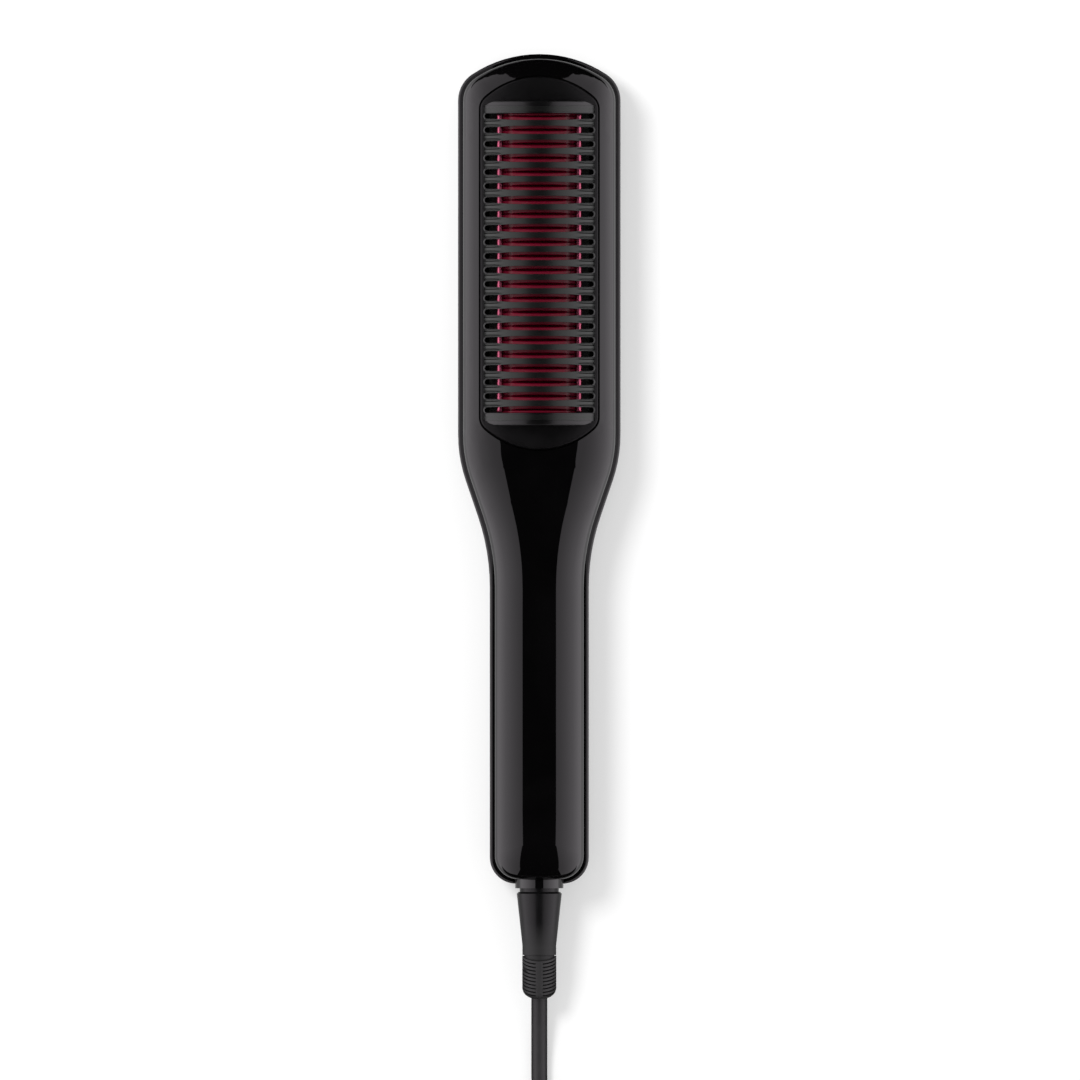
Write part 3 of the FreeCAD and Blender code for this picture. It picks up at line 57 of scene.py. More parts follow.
SHELL_BLACK = (0.0012, 0.0011, 0.0012, 1)
SHELL_HANDLED = (0.0024, 0.0022, 0.0024, 1)
SHELL_SCALES = {"Grain scale": 500.0, "Mark scale": 26.0}
SHELL_ROUGHNESS = (0.03, 0.06)
SHELL_BUMP = 0.003
SHELL_COAT = 0.2
SHELL_COAT_ROUGHNESS = 0.02


def add(tree, kind, feeds=None, values=None, **settings):
    """A shader node with its settings, its plain socket values and the sockets that feed it."""
    node = tree.nodes.new(kind)
    for key, value in settings.items():
        setattr(node, key, value)
    for key, value in (values or {}).items():
        node.inputs[key].default_value = value
    for key, source in (feeds or {}).items():
        tree.links.new(source, node.inputs[key])
    return node


def remap(tree, value, limits, feeds=None):
    """A value moved from one range to another, with any limits that sockets feed."""
    node = add(tree, "ShaderNodeMapRange", {"Value": value, **(feeds or {})}, limits)
    return node.outputs["Result"]


def skin_group(name, scales):
    """An empty shader group for a surface: it takes scales and puts out a fine grain and coarser marks."""
    group = bpy.data.node_groups.new(name, "ShaderNodeTree")
    for key, value in scales.items():
        group.interface.new_socket(key, in_out="INPUT", socket_type="NodeSocketFloat").default_value = value
    for key in ("Grain", "Marks"):
        group.interface.new_socket(key, in_out="OUTPUT", socket_type="NodeSocketFloat")
    return group, group.nodes.new("NodeGroupInput").outputs, group.nodes.new("NodeGroupOutput").inputs


moulded_skin, given, out = skin_group("moulded_skin", MOULDED_SCALES)
place = add(moulded_skin, "ShaderNodeTexCoord").outputs["Object"]
fine = {"Vector": place, "Scale": given["Grain scale"]}
tool_grain = add(moulded_skin, "ShaderNodeTexNoise", fine, TOOL_GRAIN)
broad = {"Vector": place, "Scale": given["Mark scale"]}
handling = add(moulded_skin, "ShaderNodeTexNoise", broad, HANDLING)
moulded_skin.links.new(tool_grain.outputs["Fac"], out["Grain"])
moulded_skin.links.new(remap(moulded_skin, handling.outputs["Fac"], SMEARS), out["Marks"])


def two_tone(tree, mask, colours):
    """A colour that runs from one tone to another by a mask."""
    ramp = add(tree, "ShaderNodeValToRGB", {"Fac": mask})
    for stop, colour in zip(ramp.color_ramp.elements, colours):
        stop.color = colour
    return ramp.outputs["Color"]


def finish(name, skin, scales, colours, roughness, bump, **sockets):
    """A material: the skin's marks shift colour and gloss, and its grain roughens the surface."""
    material = bpy.data.materials.new(name)
    material.use_nodes = True
    tree = material.node_tree
    shader = tree.nodes["Principled BSDF"]
    for key, value in sockets.items():
        shader.inputs[key.replace("_", " ")].default_value = value
    surface = add(tree, "ShaderNodeGroup", node_tree=skin)
    for key, value in scales.items():
        surface.inputs[key].default_value = value
    tint = two_tone(tree, surface.outputs["Marks"], colours)
    low, high = roughness
    gloss = remap(tree, surface.outputs["Marks"], {"To Min": low, "To Max": high})
    relief = add(
        tree,
        "ShaderNodeBump",
        {"Height": surface.outputs["Grain"]},
        {"Strength": bump, "Distance": BUMP_DEPTH},
    )
    tree.links.new(tint, shader.inputs["Base Color"])
    tree.links.new(gloss, shader.inputs["Roughness"])
    tree.links.new(relief.outputs["Normal"], shader.inputs["Normal"])
    return material


def dress(material, *names):
    """Gives carried-over pieces their finish."""
    for name in names:
        mesh = nodes[name].data
        mesh.materials.clear()
        mesh.materials.append(material)


gloss_black = finish(
    "gloss_black",
    moulded_skin,
    SHELL_SCALES,
    (SHELL_BLACK, SHELL_HANDLED),
    SHELL_ROUGHNESS,
    SHELL_BUMP,
    Specular_Tint=REFLECTION_PAINTED_TINT,
    Coat_Weight=SHELL_COAT,
    Coat_Roughness=SHELL_COAT_ROUGHNESS,
)
dress(gloss_black, "rear_shell")

# Swivel contacts: a brown phenolic block on the shell's floor holds two bowed brass strips. They rub on
# brass rings pressed on the sleeve's hub, and two silicone leads run on from them to the board.
PHENOLIC_DARK = (0.012, 0.006, 0.003, 1)
PHENOLIC_LIGHT = (0.03, 0.015, 0.008, 1)
BRASS_BRIGHT = (0.78, 0.58, 0.24, 1)
BRASS_DULL = (0.62, 0.43, 0.17, 1)
SILICONE_WHITE = (0.78, 0.78, 0.75, 1)
SILICONE_SOILED = (0.7, 0.69, 0.65, 1)
ROLLING_STRETCH = (1.0, 0.05, 1.0)
ROLLED_SCALES = {"Grain scale": 2600.0, "Mark scale": 160.0}
STREAKS = {"Detail": 3.0}
TARNISH = {"Detail": 4.0}
PHENOLIC_SCALES = {"Grain scale": 1500.0, "Mark scale": 240.0}
PHENOLIC_ROUGHNESS = (0.45, 0.6)
PHENOLIC_BUMP = 0.12
BRASS_ROUGHNESS = (0.2, 0.42)
BRASS_BUMP = 0.06
SILICONE_SCALES = {"Mark scale": 90.0}
SILICONE_ROUGHNESS = (0.5, 0.62)
SILICONE_BUMP = 0.08

brown_phenolic = finish(
    "brown_phenolic",
    moulded_skin,
    PHENOLIC_SCALES,
    (PHENOLIC_DARK, PHENOLIC_LIGHT),
    PHENOLIC_ROUGHNESS,
    PHENOLIC_BUMP,
)
dress(brown_phenolic, "contact_block")

rolled_skin, given, out = skin_group("rolled_skin", ROLLED_SCALES)
place = add(rolled_skin, "ShaderNodeTexCoord").outputs["Object"]
rolled = add(rolled_skin, "ShaderNodeMapping", {"Vector": place}, {"Scale": ROLLING_STRETCH})
lines = {"Vector": rolled.outputs["Vector"], "Scale": given["Grain scale"]}
streaks = add(rolled_skin, "ShaderNodeTexNoise", lines, STREAKS)
spots = {"Vector": place, "Scale": given["Mark scale"]}
tarnish = add(rolled_skin, "ShaderNodeTexNoise", spots, TARNISH)
rolled_skin.links.new(streaks.outputs["Fac"], out["Grain"])
rolled_skin.links.new(tarnish.outputs["Fac"], out["Marks"])

brass = finish(
    "brass", rolled_skin, {}, (BRASS_BRIGHT, BRASS_DULL), BRASS_ROUGHNESS, BRASS_BUMP, Metallic=1.0
)
dress(brass, "contact_springs", "slip_rings")

lead_white = finish(
    "lead_white",
    moulded_skin,
    SILICONE_SCALES,
    (SILICONE_WHITE, SILICONE_SOILED),
    SILICONE_ROUGHNESS,
    SILICONE_BUMP,
)
dress(lead_white, "supply_leads")

# Control board: a green glass-cloth laminate with copper tracks under the mask, screwed to four posts.
# It carries a boxed film capacitor, a sleeved can, a triac, a wire-ended fuse and the controller.
MASK_GREEN = (0.012, 0.12, 0.05, 1)
TRACK_GREEN = (0.03, 0.24, 0.11, 1)
RESIN_BLACK = (0.018, 0.018, 0.02, 1)
RESIN_GREY = (0.034, 0.034, 0.036, 1)
BOX_YELLOW = (0.72, 0.55, 0.09, 1)
BOX_PALE = (0.8, 0.64, 0.16, 1)
CAN_BLUE = (0.03, 0.07, 0.26, 1)
CAN_PALE = (0.05, 0.1, 0.32, 1)
ZINC_BRIGHT = (0.62, 0.63, 0.65, 1)
ZINC_DULL = (0.46, 0.46, 0.47, 1)
TRACKED_SCALES = {"Cloth scale": 1500.0, "Track scale": 160.0}
CLOTH = {"Distortion": 0.6}
TRACK_GAPS = {"Mortar Size": 0.12, "Mortar Smooth": 0.1}
TRACK_OFFSET = 0.33
TRACK_SQUASH = 0.6
BOARD_ROUGHNESS = (0.3, 0.38)
BOARD_BUMP = 0.05
RESIN_SCALES = {"Grain scale": 2400.0}
RESIN_ROUGHNESS = (0.5, 0.62)
RESIN_BUMP = 0.1
BOX_SCALES = {"Mark scale": 120.0}
BOX_ROUGHNESS = (0.35, 0.45)
BOX_BUMP = 0.05
CAN_SCALES = {"Mark scale": 200.0}
CAN_ROUGHNESS = (0.25, 0.35)
CAN_BUMP = 0.04
ZINC_ROUGHNESS = (0.24, 0.44)
ZINC_BUMP = 0.05

tracked_skin, given, out = skin_group("tracked_skin", TRACKED_SCALES)
place = add(tracked_skin, "ShaderNodeTexCoord").outputs["Object"]
cloth = add(
    tracked_skin,
    "ShaderNodeTexWave",
    {"Vector": place, "Scale": given["Cloth scale"]},
    CLOTH,
    bands_direction="DIAGONAL",
)
tracks = add(
    tracked_skin,
    "ShaderNodeTexBrick",
    {"Vector": place, "Scale": given["Track scale"]},
    TRACK_GAPS,
    offset=TRACK_OFFSET,
    squash=TRACK_SQUASH,
)
tracked_skin.links.new(cloth.outputs["Fac"], out["Grain"])
tracked_skin.links.new(tracks.outputs["Fac"], out["Marks"])

board_green = finish(
    "board_green", tracked_skin, {}, (MASK_GREEN, TRACK_GREEN), BOARD_ROUGHNESS, BOARD_BUMP
)
dress(board_green, "control_board")
component_black = finish(
    "component_black", moulded_skin, RESIN_SCALES, (RESIN_BLACK, RESIN_GREY), RESIN_ROUGHNESS, RESIN_BUMP
)
dress(component_black, "triac", "board_fuse", "microcontroller")
component_yellow = finish(
    "component_yellow", moulded_skin, BOX_SCALES, (BOX_YELLOW, BOX_PALE), BOX_ROUGHNESS, BOX_BUMP
)
dress(component_yellow, "film_capacitor")
can_blue = finish("can_blue", moulded_skin, CAN_SCALES, (CAN_BLUE, CAN_PALE), CAN_ROUGHNESS, CAN_BUMP)
dress(can_blue, "smoothing_capacitor")
zinc_steel = finish(
    "zinc_steel", rolled_skin, {}, (ZINC_BRIGHT, ZINC_DULL), ZINC_ROUGHNESS, ZINC_BUMP, Metallic=1.0
)
dress(zinc_steel, "board_screws")

# Display: a black module that stands on the board behind a smoked window, which is clipped into the
# bezel. Its three figures have seven bars each, pale and unlit.
SMOKE = (0.3, 0.3, 0.33, 1)
SMOKE_SMEARED = (0.26, 0.26, 0.28, 1)
SMOKE_SCALES = {"Mark scale": 60.0}
SMOKE_ROUGHNESS = (0.03, 0.09)
SMOKE_BUMP = 0.002
SMOKE_CLEAR = 0.9
SMOKE_IOR = 1.49
FIGURE_COUNT = 3
FIGURE_PITCH = 4.6 * MM
FIGURE_HALF_WIDTH = 1.6 * MM
FIGURE_HALF_HEIGHT = 1.25 * MM
BAR_LENGTH = 2.1 * MM
BAR_WIDTH = 0.42 * MM
BAR_THICK = 0.12 * MM
BAR_EDGE = BAR_THICK / 3
EDGE_STEPS = 2
MERGE = 0.001 * MM
CREASE = math.radians(32)
UNLIT_PALE = (0.5, 0.47, 0.42, 1)
UNLIT_GREY = (0.42, 0.4, 0.36, 1)
UNLIT_SCALES = {"Mark scale": 400.0}
UNLIT_ROUGHNESS = (0.4, 0.5)
UNLIT_BUMP = 0.02

dress(component_black, "display_module")
smoke_lens = finish(
    "smoke_lens",
    moulded_skin,
    SMOKE_SCALES,
    (SMOKE, SMOKE_SMEARED),
    SMOKE_ROUGHNESS,
    SMOKE_BUMP,
    Transmission_Weight=SMOKE_CLEAR,
    IOR=SMOKE_IOR,
)
dress(smoke_lens, "display_lens")


def bar(bm, size, place, edge):
    """A small bar with its edges rounded over, about a place."""
    verts = bmesh.ops.create_cube(bm, size=1.0)["verts"]
    bmesh.ops.scale(bm, vec=size, verts=verts)
    bmesh.ops.translate(bm, vec=place, verts=verts)
    edges = list({joined for vert in verts for joined in vert.link_edges})
    bmesh.ops.bevel(
        bm, geom=edges, offset=edge, segments=EDGE_STEPS, profile=0.5, affect="EDGES", material=-1
    )


def make_piece(bm, name, material, body, slot, *replaced):
    """Turns a finished bmesh into a piece that rides on a body."""
    bmesh.ops.remove_doubles(bm, verts=bm.verts, dist=MERGE)
    bmesh.ops.recalc_face_normals(bm, faces=bm.faces)
    mesh = bpy.data.meshes.new(name)
    bm.to_mesh(mesh)
    bm.free()
    mesh.shade_smooth()
    mesh.set_sharp_from_angle(angle=CREASE)
    mesh.materials.append(material)
    piece = bpy.data.objects.new(name, mesh)
    bpy.context.scene.collection.objects.link(piece)
    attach(piece, body)
    if replaced:
        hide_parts(*replaced)
    return piece


unlit_bars = finish(
    "unlit_bars", moulded_skin, UNLIT_SCALES, (UNLIT_PALE, UNLIT_GREY), UNLIT_ROUGHNESS, UNLIT_BUMP
)


def lower_face(node):
    """The middle of the face of a piece that looks down."""
    low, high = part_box(node)
    face = (low + high) / 2
    face.z = low.z
    return face


module_face = lower_face("display_module")
lying = (BAR_WIDTH, BAR_LENGTH, BAR_THICK)
standing = (BAR_LENGTH, BAR_WIDTH, BAR_THICK)
bm = bmesh.new()
for figure in range(FIGURE_COUNT):
    middle = module_face + Vector((0, (figure - (FIGURE_COUNT - 1) / 2) * FIGURE_PITCH, 0))
    for rank in (-1, 0, 1):
        bar(bm, lying, middle + Vector((rank * 2 * FIGURE_HALF_HEIGHT, 0, 0)), BAR_EDGE)
    for rank in (-1, 1):
        for side in (-1, 1):
            corner = Vector((rank * FIGURE_HALF_HEIGHT, side * FIGURE_HALF_WIDTH, 0))
            bar(bm, standing, middle + corner, BAR_EDGE)
make_piece(bm, "display_bars", unlit_bars, "comb", "component_black")

# Keys: satin buttons in a satin bezel on the back, each on a plunger above a small switch on the board.
# A plus, a minus and a power ring are pad-printed on them in white.
KEY_BLACK = (0.016, 0.016, 0.017, 1)
KEY_RUBBED = (0.026, 0.026, 0.027, 1)
PRINT_WHITE = (0.75, 0.75, 0.74, 1)
PRINT_RUBBED = (0.6, 0.6, 0.59, 1)
PRINT_THICK = 0.12 * MM
PRINT_EDGE = 0.03 * MM
SIGN_LENGTH = 3.4 * MM
SIGN_WIDTH = 0.6 * MM
RING_RADIUS = 1.7 * MM
RING_TURN = math.radians(290)
RING_STEPS = 36
STROKE_PLACE = 1.02 * MM
KEY_SCALES = {"Grain scale": 2200.0}
KEY_ROUGHNESS = (0.38, 0.46)
KEY_BUMP = 0.1
PRINT_SCALES = {"Mark scale": 300.0}
PRINT_ROUGHNESS = (0.45, 0.6)
PRINT_BUMP = 0.05

satin_black = finish(
    "satin_black", moulded_skin, KEY_SCALES, (KEY_BLACK, KEY_RUBBED), KEY_ROUGHNESS, KEY_BUMP
)
dress(satin_black, "control_bezel", "power_button", "temperature_up_button", "temperature_down_button")
dress(component_black, "power_plunger", "temperature_up_plunger", "temperature_down_plunger")
dress(component_black, "tact_switches")
white_print = finish(
    "white_print", moulded_skin, PRINT_SCALES, (PRINT_WHITE, PRINT_RUBBED), PRINT_ROUGHNESS, PRINT_BUMP
)

across = (SIGN_LENGTH, SIGN_WIDTH, PRINT_THICK)
along = (SIGN_WIDTH, SIGN_LENGTH, PRINT_THICK)
arm = (SIGN_WIDTH, (SIGN_LENGTH - SIGN_WIDTH) / 2, PRINT_THICK)
arm_place = Vector((0, (SIGN_LENGTH + SIGN_WIDTH) / 4, 0))
bm = bmesh.new()
face = lower_face("temperature_up_button")
bar(bm, across, face, PRINT_EDGE)
for side in (-1, 1):
    bar(bm, arm, face + side * arm_place, PRINT_EDGE)
make_piece(bm, "plus_mark", white_print, "warmer_key", "lead_white")

bm = bmesh.new()
bar(bm, across, lower_face("temperature_down_button"), PRINT_EDGE)
make_piece(bm, "minus_mark", white_print, "cooler_key", "lead_white")

bm = bmesh.new()
face = lower_face("power_button")
bar(bm, along, face + Vector((0, STROKE_PLACE, 0)), PRINT_EDGE)
section = bmesh.ops.create_grid(bm, x_segments=1, y_segments=1, size=0.5)["verts"]
bmesh.ops.scale(bm, vec=(SIGN_WIDTH, PRINT_THICK, 1), verts=section)
bmesh.ops.rotate(bm, verts=section, matrix=Matrix.Rotation(math.pi / 2, 3, "X"))
bmesh.ops.translate(bm, vec=face + Vector((RING_RADIUS, 0, 0)), verts=section)
to_gap = Matrix.Rotation(math.pi / 2 + (2 * math.pi - RING_TURN) / 2, 3, "Z")
bmesh.ops.rotate(bm, verts=section, cent=face, matrix=to_gap)
ring = section + list({edge for vert in section for edge in vert.link_edges})
ring += list({joined for vert in section for joined in vert.link_faces})
bmesh.ops.spin(bm, geom=ring, cent=face, axis=(0, 0, 1), angle=RING_TURN, steps=RING_STEPS)
make_piece(bm, "power_mark", white_print, "power_key", "lead_white")

# Heater stack: a phenolic tray screwed under the plate, an alumina heater held up to it by a mica sheet
# and a bowed steel spring, with a thermal fuse and a glass thermistor beside it on their leads. Strips of
# near-black felt along the tray's sides are a dark sheet put in as painted shade in the slots' ends.
ALUMINA = (0.84, 0.83, 0.79, 1)
ALUMINA_SPECK = (0.72, 0.69, 0.62, 1)
MICA_DARK = (0.42, 0.33, 0.2, 1)
MICA_LIGHT = (0.62, 0.53, 0.37, 1)
STRIP_BRIGHT = (0.58, 0.57, 0.55, 1)
STRIP_BLUED = (0.4, 0.38, 0.4, 1)
BEAD_AMBER = (0.8, 0.58, 0.3, 1)
BEAD_DARK = (0.62, 0.4, 0.18, 1)
LEAD_RED = (0.45, 0.03, 0.025, 1)
LEAD_FADED = (0.52, 0.06, 0.05, 1)
FELT_SHADE_BLACK = (0.0006, 0.0006, 0.0006, 1)
FELT_WORN = (0.0012, 0.0012, 0.0012, 1)
FELT_OUTER = 18.6 * MM
FELT_THICK = 2.0 * MM
FELT_EDGE = 0.3 * MM
FELT_SCALES = {"Grain scale": 3000.0}
FELT_ROUGHNESS = (0.9, 1.0)
FELT_BUMP = 0.4
ALUMINA_SCALES = {"Mark scale": 900.0}
ALUMINA_ROUGHNESS = (0.55, 0.7)
ALUMINA_BUMP = 0.1
MICA_SCALES = {"Mark scale": 150.0}
MICA_ROUGHNESS = (0.2, 0.45)
MICA_BUMP = 0.15
STRIP_ROUGHNESS = (0.22, 0.4)
STRIP_BUMP = 0.08
BEAD_SCALES = {"Mark scale": 500.0}
BEAD_ROUGHNESS = (0.04, 0.1)
BEAD_BUMP = 0.01
BEAD_CLEAR = 0.7
LEAD_SCALES = {"Mark scale": 120.0}
LEAD_ROUGHNESS = (0.5, 0.6)
LEAD_BUMP = 0.06

dress(brown_phenolic, "heater_carrier")
# The felt strips, black and without gloss, stand for the shade in the slots' ends: painted shade.
felt_painted_shade = finish(
    "felt_painted_shade",
    moulded_skin,
    FELT_SCALES,
    (FELT_SHADE_BLACK, FELT_WORN),
    FELT_ROUGHNESS,
    FELT_BUMP,
    Specular_IOR_Level=0.0,
)
tray_low, tray_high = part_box("heater_carrier")
felt_size = (FELT_OUTER - tray_high.x, tray_high.y - tray_low.y, FELT_THICK)
bm = bmesh.new()
for side in (-1, 1):
    middle = (tray_low + tray_high) / 2
    middle.x = side * (FELT_OUTER + tray_high.x) / 2
    middle.z = tray_high.z - FELT_THICK / 2
    bar(bm, felt_size, middle, FELT_EDGE)
make_piece(bm, "felt_strips", felt_painted_shade, "comb", "strap_black")
white_alumina = finish(
    "white_alumina",
    moulded_skin,
    ALUMINA_SCALES,
    (ALUMINA, ALUMINA_SPECK),
    ALUMINA_ROUGHNESS,
    ALUMINA_BUMP,
)
dress(white_alumina, "ceramic_heater")
mica = finish("mica", moulded_skin, MICA_SCALES, (MICA_DARK, MICA_LIGHT), MICA_ROUGHNESS, MICA_BUMP)
dress(mica, "mica_sheet")
spring_steel = finish(
    "spring_steel",
    rolled_skin,
    {},
    (STRIP_BRIGHT, STRIP_BLUED),
    STRIP_ROUGHNESS,
    STRIP_BUMP,
    Metallic=1.0,
)
dress(spring_steel, "clamp_spring")
dress(zinc_steel, "thermal_fuse", "heater_screws")
glass_bead = finish(
    "glass_bead",
    moulded_skin,
    BEAD_SCALES,
    (BEAD_AMBER, BEAD_DARK),
    BEAD_ROUGHNESS,
    BEAD_BUMP,
    Transmission_Weight=BEAD_CLEAR,
)
dress(glass_bead, "thermistor")
dress(lead_white, "heater_leads")
lead_red = finish("lead_red", moulded_skin, LEAD_SCALES, (LEAD_RED, LEAD_FADED), LEAD_ROUGHNESS, LEAD_BUMP)
dress(lead_red, "sensor_leads")

# Heater plate: an aluminium extrusion with a burgundy ceramic coat and rounded rails along both sides.
# The rails' crests carry a pale pink painted highlight; the plate's floor and the rails' feet carry painted
# shade. A fin below each rib of the guard is milled from the same bar: its crest tapers, its ends slope
# down to the rails, and its edges are broken over. A thin wall closes each end.
COAT_SHADED = (0.006, 0.0003, 0.001, 1)
COAT_DEEP = (0.12, 0.002, 0.013, 1)
COAT_BRIGHT = (0.15, 0.003, 0.018, 1)
CREST_PAINTED_HIGHLIGHT = (0.76, 0.167, 0.293, 1)
COAT_SCALES = {"Grain scale": 2600.0, "Mark scale": 80.0}
COAT_ROUGHNESS = (0.3, 0.38)
COAT_BUMP = 0.03
COAT_SPECULAR = 0.2
PLATE_TOP = 24.0 * MM
RAIL_TOP = 26.3 * MM
RAIL_DEEP = 0.45
RAIL_BRIGHT = 0.8
RAIL_HIGHLIGHT_FULL = 0.9
PITCH = 4.72 * MM
FIN_COUNT = 21
FIN_HALF_WIDTH = 12.5 * MM
FIN_FOOT = 4.5 * MM
FIN_TOP = 3.7 * MM
FIN_BASE = 23.8 * MM
FIN_CROWN = 32.7 * MM
FIN_CREST = 2.4 * MM
FIN_RADIUS = 19.82 * MM
FIN_SLOPE_START = 9.7 * MM
FIN_SLOPE = 1.75
FIN_CUTS = 35
FIN_EDGE = 0.3 * MM
FIN_EDGE_STEPS = 3
FIN_CORNER = math.radians(50)
WALL_COUNT = 2
WALL_FOOT = 0.84 * MM
WALL_TOP = 0.8 * MM
WALL_PLACE = 2.88 * MM

burgundy = finish(
    "burgundy_heater",
    moulded_skin,
    COAT_SCALES,
    (COAT_DEEP, COAT_BRIGHT),
    COAT_ROUGHNESS,
    COAT_BUMP,
    Specular_IOR_Level=COAT_SPECULAR,
)


def piece_axes(tree):
    """The X, Y and Z of a place on a piece, as sockets."""
    place = add(tree, "ShaderNodeTexCoord").outputs["Object"]
    return add(tree, "ShaderNodeSeparateXYZ", {"Vector": place}).outputs


rail_coat = burgundy.copy()
rail_coat.name = "rail_coat"
tree = rail_coat.node_tree
shader = tree.nodes["Principled BSDF"]
# The plate is coloured by height: near black as painted shade on its floor and at the rails' feet, then the
# coat's reds, then a pale pink, metallic crest as a painted highlight.
raised = remap(tree, piece_axes(tree)["Z"], {"From Min": PLATE_TOP, "From Max": RAIL_TOP})
painted_light = add(tree, "ShaderNodeValToRGB", {"Fac": raised})
painted_light.color_ramp.elements[0].color = COAT_SHADED
painted_light.color_ramp.elements[1].color = CREST_PAINTED_HIGHLIGHT
painted_light.color_ramp.elements.new(RAIL_DEEP).color = COAT_DEEP
painted_light.color_ramp.elements.new(RAIL_BRIGHT).color = COAT_BRIGHT
highlight_metal = remap(tree, raised, {"From Min": RAIL_BRIGHT, "To Max": RAIL_HIGHLIGHT_FULL})
tree.links.new(painted_light.outputs["Color"], shader.inputs["Base Color"])
tree.links.new(highlight_metal, shader.inputs["Metallic"])
dress(rail_coat, "heater_plate")


def only(kind, geom):
    """The elements of one kind among mixed geometry."""
    return [part for part in geom if isinstance(part, kind)]


def repeat(bm, count, pitch):
    """Copies all of a bmesh towards the handle, one pitch apart."""
    first = bm.verts[:] + bm.edges[:] + bm.faces[:]
    for step in range(1, count):
        copied = bmesh.ops.duplicate(bm, geom=first)["geom"]
        bmesh.ops.translate(bm, vec=(0, -pitch * step, 0), verts=only(bmesh.types.BMVert, copied))


def first_place(node, width):
    """Where the middle of the first of a row of like pieces is, along the comb."""
    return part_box(node)[1].y - width / 2


def fin_top(x):
    """The height of a fin's crest at a place across the comb."""
    arch = FIN_CROWN - FIN_RADIUS + math.sqrt(FIN_RADIUS**2 - min(x, FIN_SLOPE_START) ** 2)
    return arch - FIN_SLOPE * max(0.0, x - FIN_SLOPE_START)


def fin(foot, crest, place):
    """One fin across the comb: its width at the foot and at the crest, and its place along the comb."""
    bm = bmesh.new()
    bmesh.ops.create_cube(bm, size=2.0)
    bmesh.ops.scale(bm, vec=(FIN_HALF_WIDTH, foot / 2, 1.0), verts=bm.verts)
    lengthwise = [edge for edge in bm.edges if abs(edge.verts[0].co.x - edge.verts[1].co.x) > FIN_HALF_WIDTH]
    bmesh.ops.subdivide_edges(bm, edges=lengthwise, cuts=FIN_CUTS, use_grid_fill=True)
    upright = [edge for edge in bm.edges if abs(edge.verts[0].co.z - edge.verts[1].co.z) > 1.0]
    bmesh.ops.subdivide_edges(bm, edges=upright, cuts=1, use_grid_fill=True)
    for vert in bm.verts:
        top = fin_top(abs(vert.co.x))
        waist = min(FIN_CROWN - FIN_CREST, top - FIN_EDGE)
        heights = {-1: FIN_BASE, 0: waist, 1: top}
        vert.co.z = heights[round(vert.co.z)]
        narrowed = max(0.0, vert.co.z - FIN_CROWN + FIN_CREST) / FIN_CREST
        vert.co.y *= 1 + narrowed * (crest / foot - 1)
    rim = [edge for edge in bm.edges if edge.calc_face_angle() > FIN_CORNER]
    rim = [edge for edge in rim if all(vert.co.z > fin_top(abs(vert.co.x)) - MERGE for vert in edge.verts)]
    bmesh.ops.bevel(
        bm, geom=rim, offset=FIN_EDGE, segments=FIN_EDGE_STEPS, profile=0.5, affect="EDGES", material=-1
    )
    bmesh.ops.translate(bm, vec=(0, place, 0), verts=bm.verts)
    return bm


first_fin = first_place("heater_fins", FIN_FOOT)
bm = fin(FIN_FOOT, FIN_TOP, first_fin)
repeat(bm, FIN_COUNT, PITCH)
make_piece(bm, "milled_fins", burgundy, "comb", "burgundy_heater", "heater_fins")

bm = fin(WALL_FOOT, WALL_TOP, first_fin + WALL_PLACE)
repeat(bm, WALL_COUNT, (FIN_COUNT - 1) * PITCH + 2 * WALL_PLACE)
make_piece(bm, "end_walls", burgundy, "comb", "burgundy_heater")

# Comb guard: a heat-resistant black frame that clips into the window in the front shell. Ribs arch over
# its open middle, one on each finger, grooved at their feet. A lip runs round each slot's end, pale grey as
# a painted highlight.
GUARD_BLACK = (0.002, 0.002, 0.0021, 1)
GUARD_RUBBED = (0.0035, 0.0035, 0.0036, 1)
GUARD_SCALES = {"Grain scale": 2400.0, "Mark scale": 60.0}
GUARD_ROUGHNESS = (0.29, 0.35)
GUARD_BUMP = 0.04
ARCH_HALF = 18.8 * MM
ARCH_BASE = 26.4 * MM
ARCH_CROWN = 36.01 * MM
ARCH_RISE = ARCH_CROWN - ARCH_BASE
ARCH_RADIUS = (ARCH_HALF**2 + ARCH_RISE**2) / (2 * ARCH_RISE)
ARCH_AXIS = Vector((0, 0, ARCH_CROWN - ARCH_RADIUS))
ARCH_TURN = math.asin(ARCH_HALF / ARCH_RADIUS)
ARCH_STEPS = 48
RIB_COUNT = 23
RIB_FOOT = 2.7 * MM
RIB_ROUGHNESS = (0.38, 0.44)
GROOVE_DEPTH = 0.34 * MM
GROOVE_NEAR = 0.01 * MM
GROOVE_KEPT = math.radians(12)
GROOVE_FADE = math.radians(14)
# Places across the comb and half the width of a rib there, in millimetres.
RIB_PLAN = ((0.0, 0.975), (6.0, 0.985), (9.4, 1.05), (12.5, 1.27), (13.4, 1.3), (15.2, 1.16), (18.8, 1.14))
# Half of a rib's section: share of its half width, and depth below the arch.
RIB_SECTION = (
    (0.42, 0.0),
    (0.57, GROOVE_DEPTH),
    (0.72, 0.0),
    (0.86, 0.0),
    (0.97, 0.05 * MM),
    (1.0, 0.2 * MM),
    (0.94, 3.0 * MM),
)
SLOT_COUNT = 22
LIP_HIGHLIGHT_GREY = (0.04, 0.038, 0.04, 1)
LIP_HIGHLIGHT_PALE = (0.065, 0.062, 0.065, 1)
LIP_SCALES = {"Grain scale": 2400.0, "Mark scale": 300.0}
LIP_ROUGHNESS = (0.42, 0.5)
LIP_RADIUS = 0.28 * MM
LIP_END = 17.45 * MM
LIP_PLACE = 1.16 * MM
LIP_LEG = 3.4 * MM
LIP_SIDES = 10
LIP_STEPS = 14

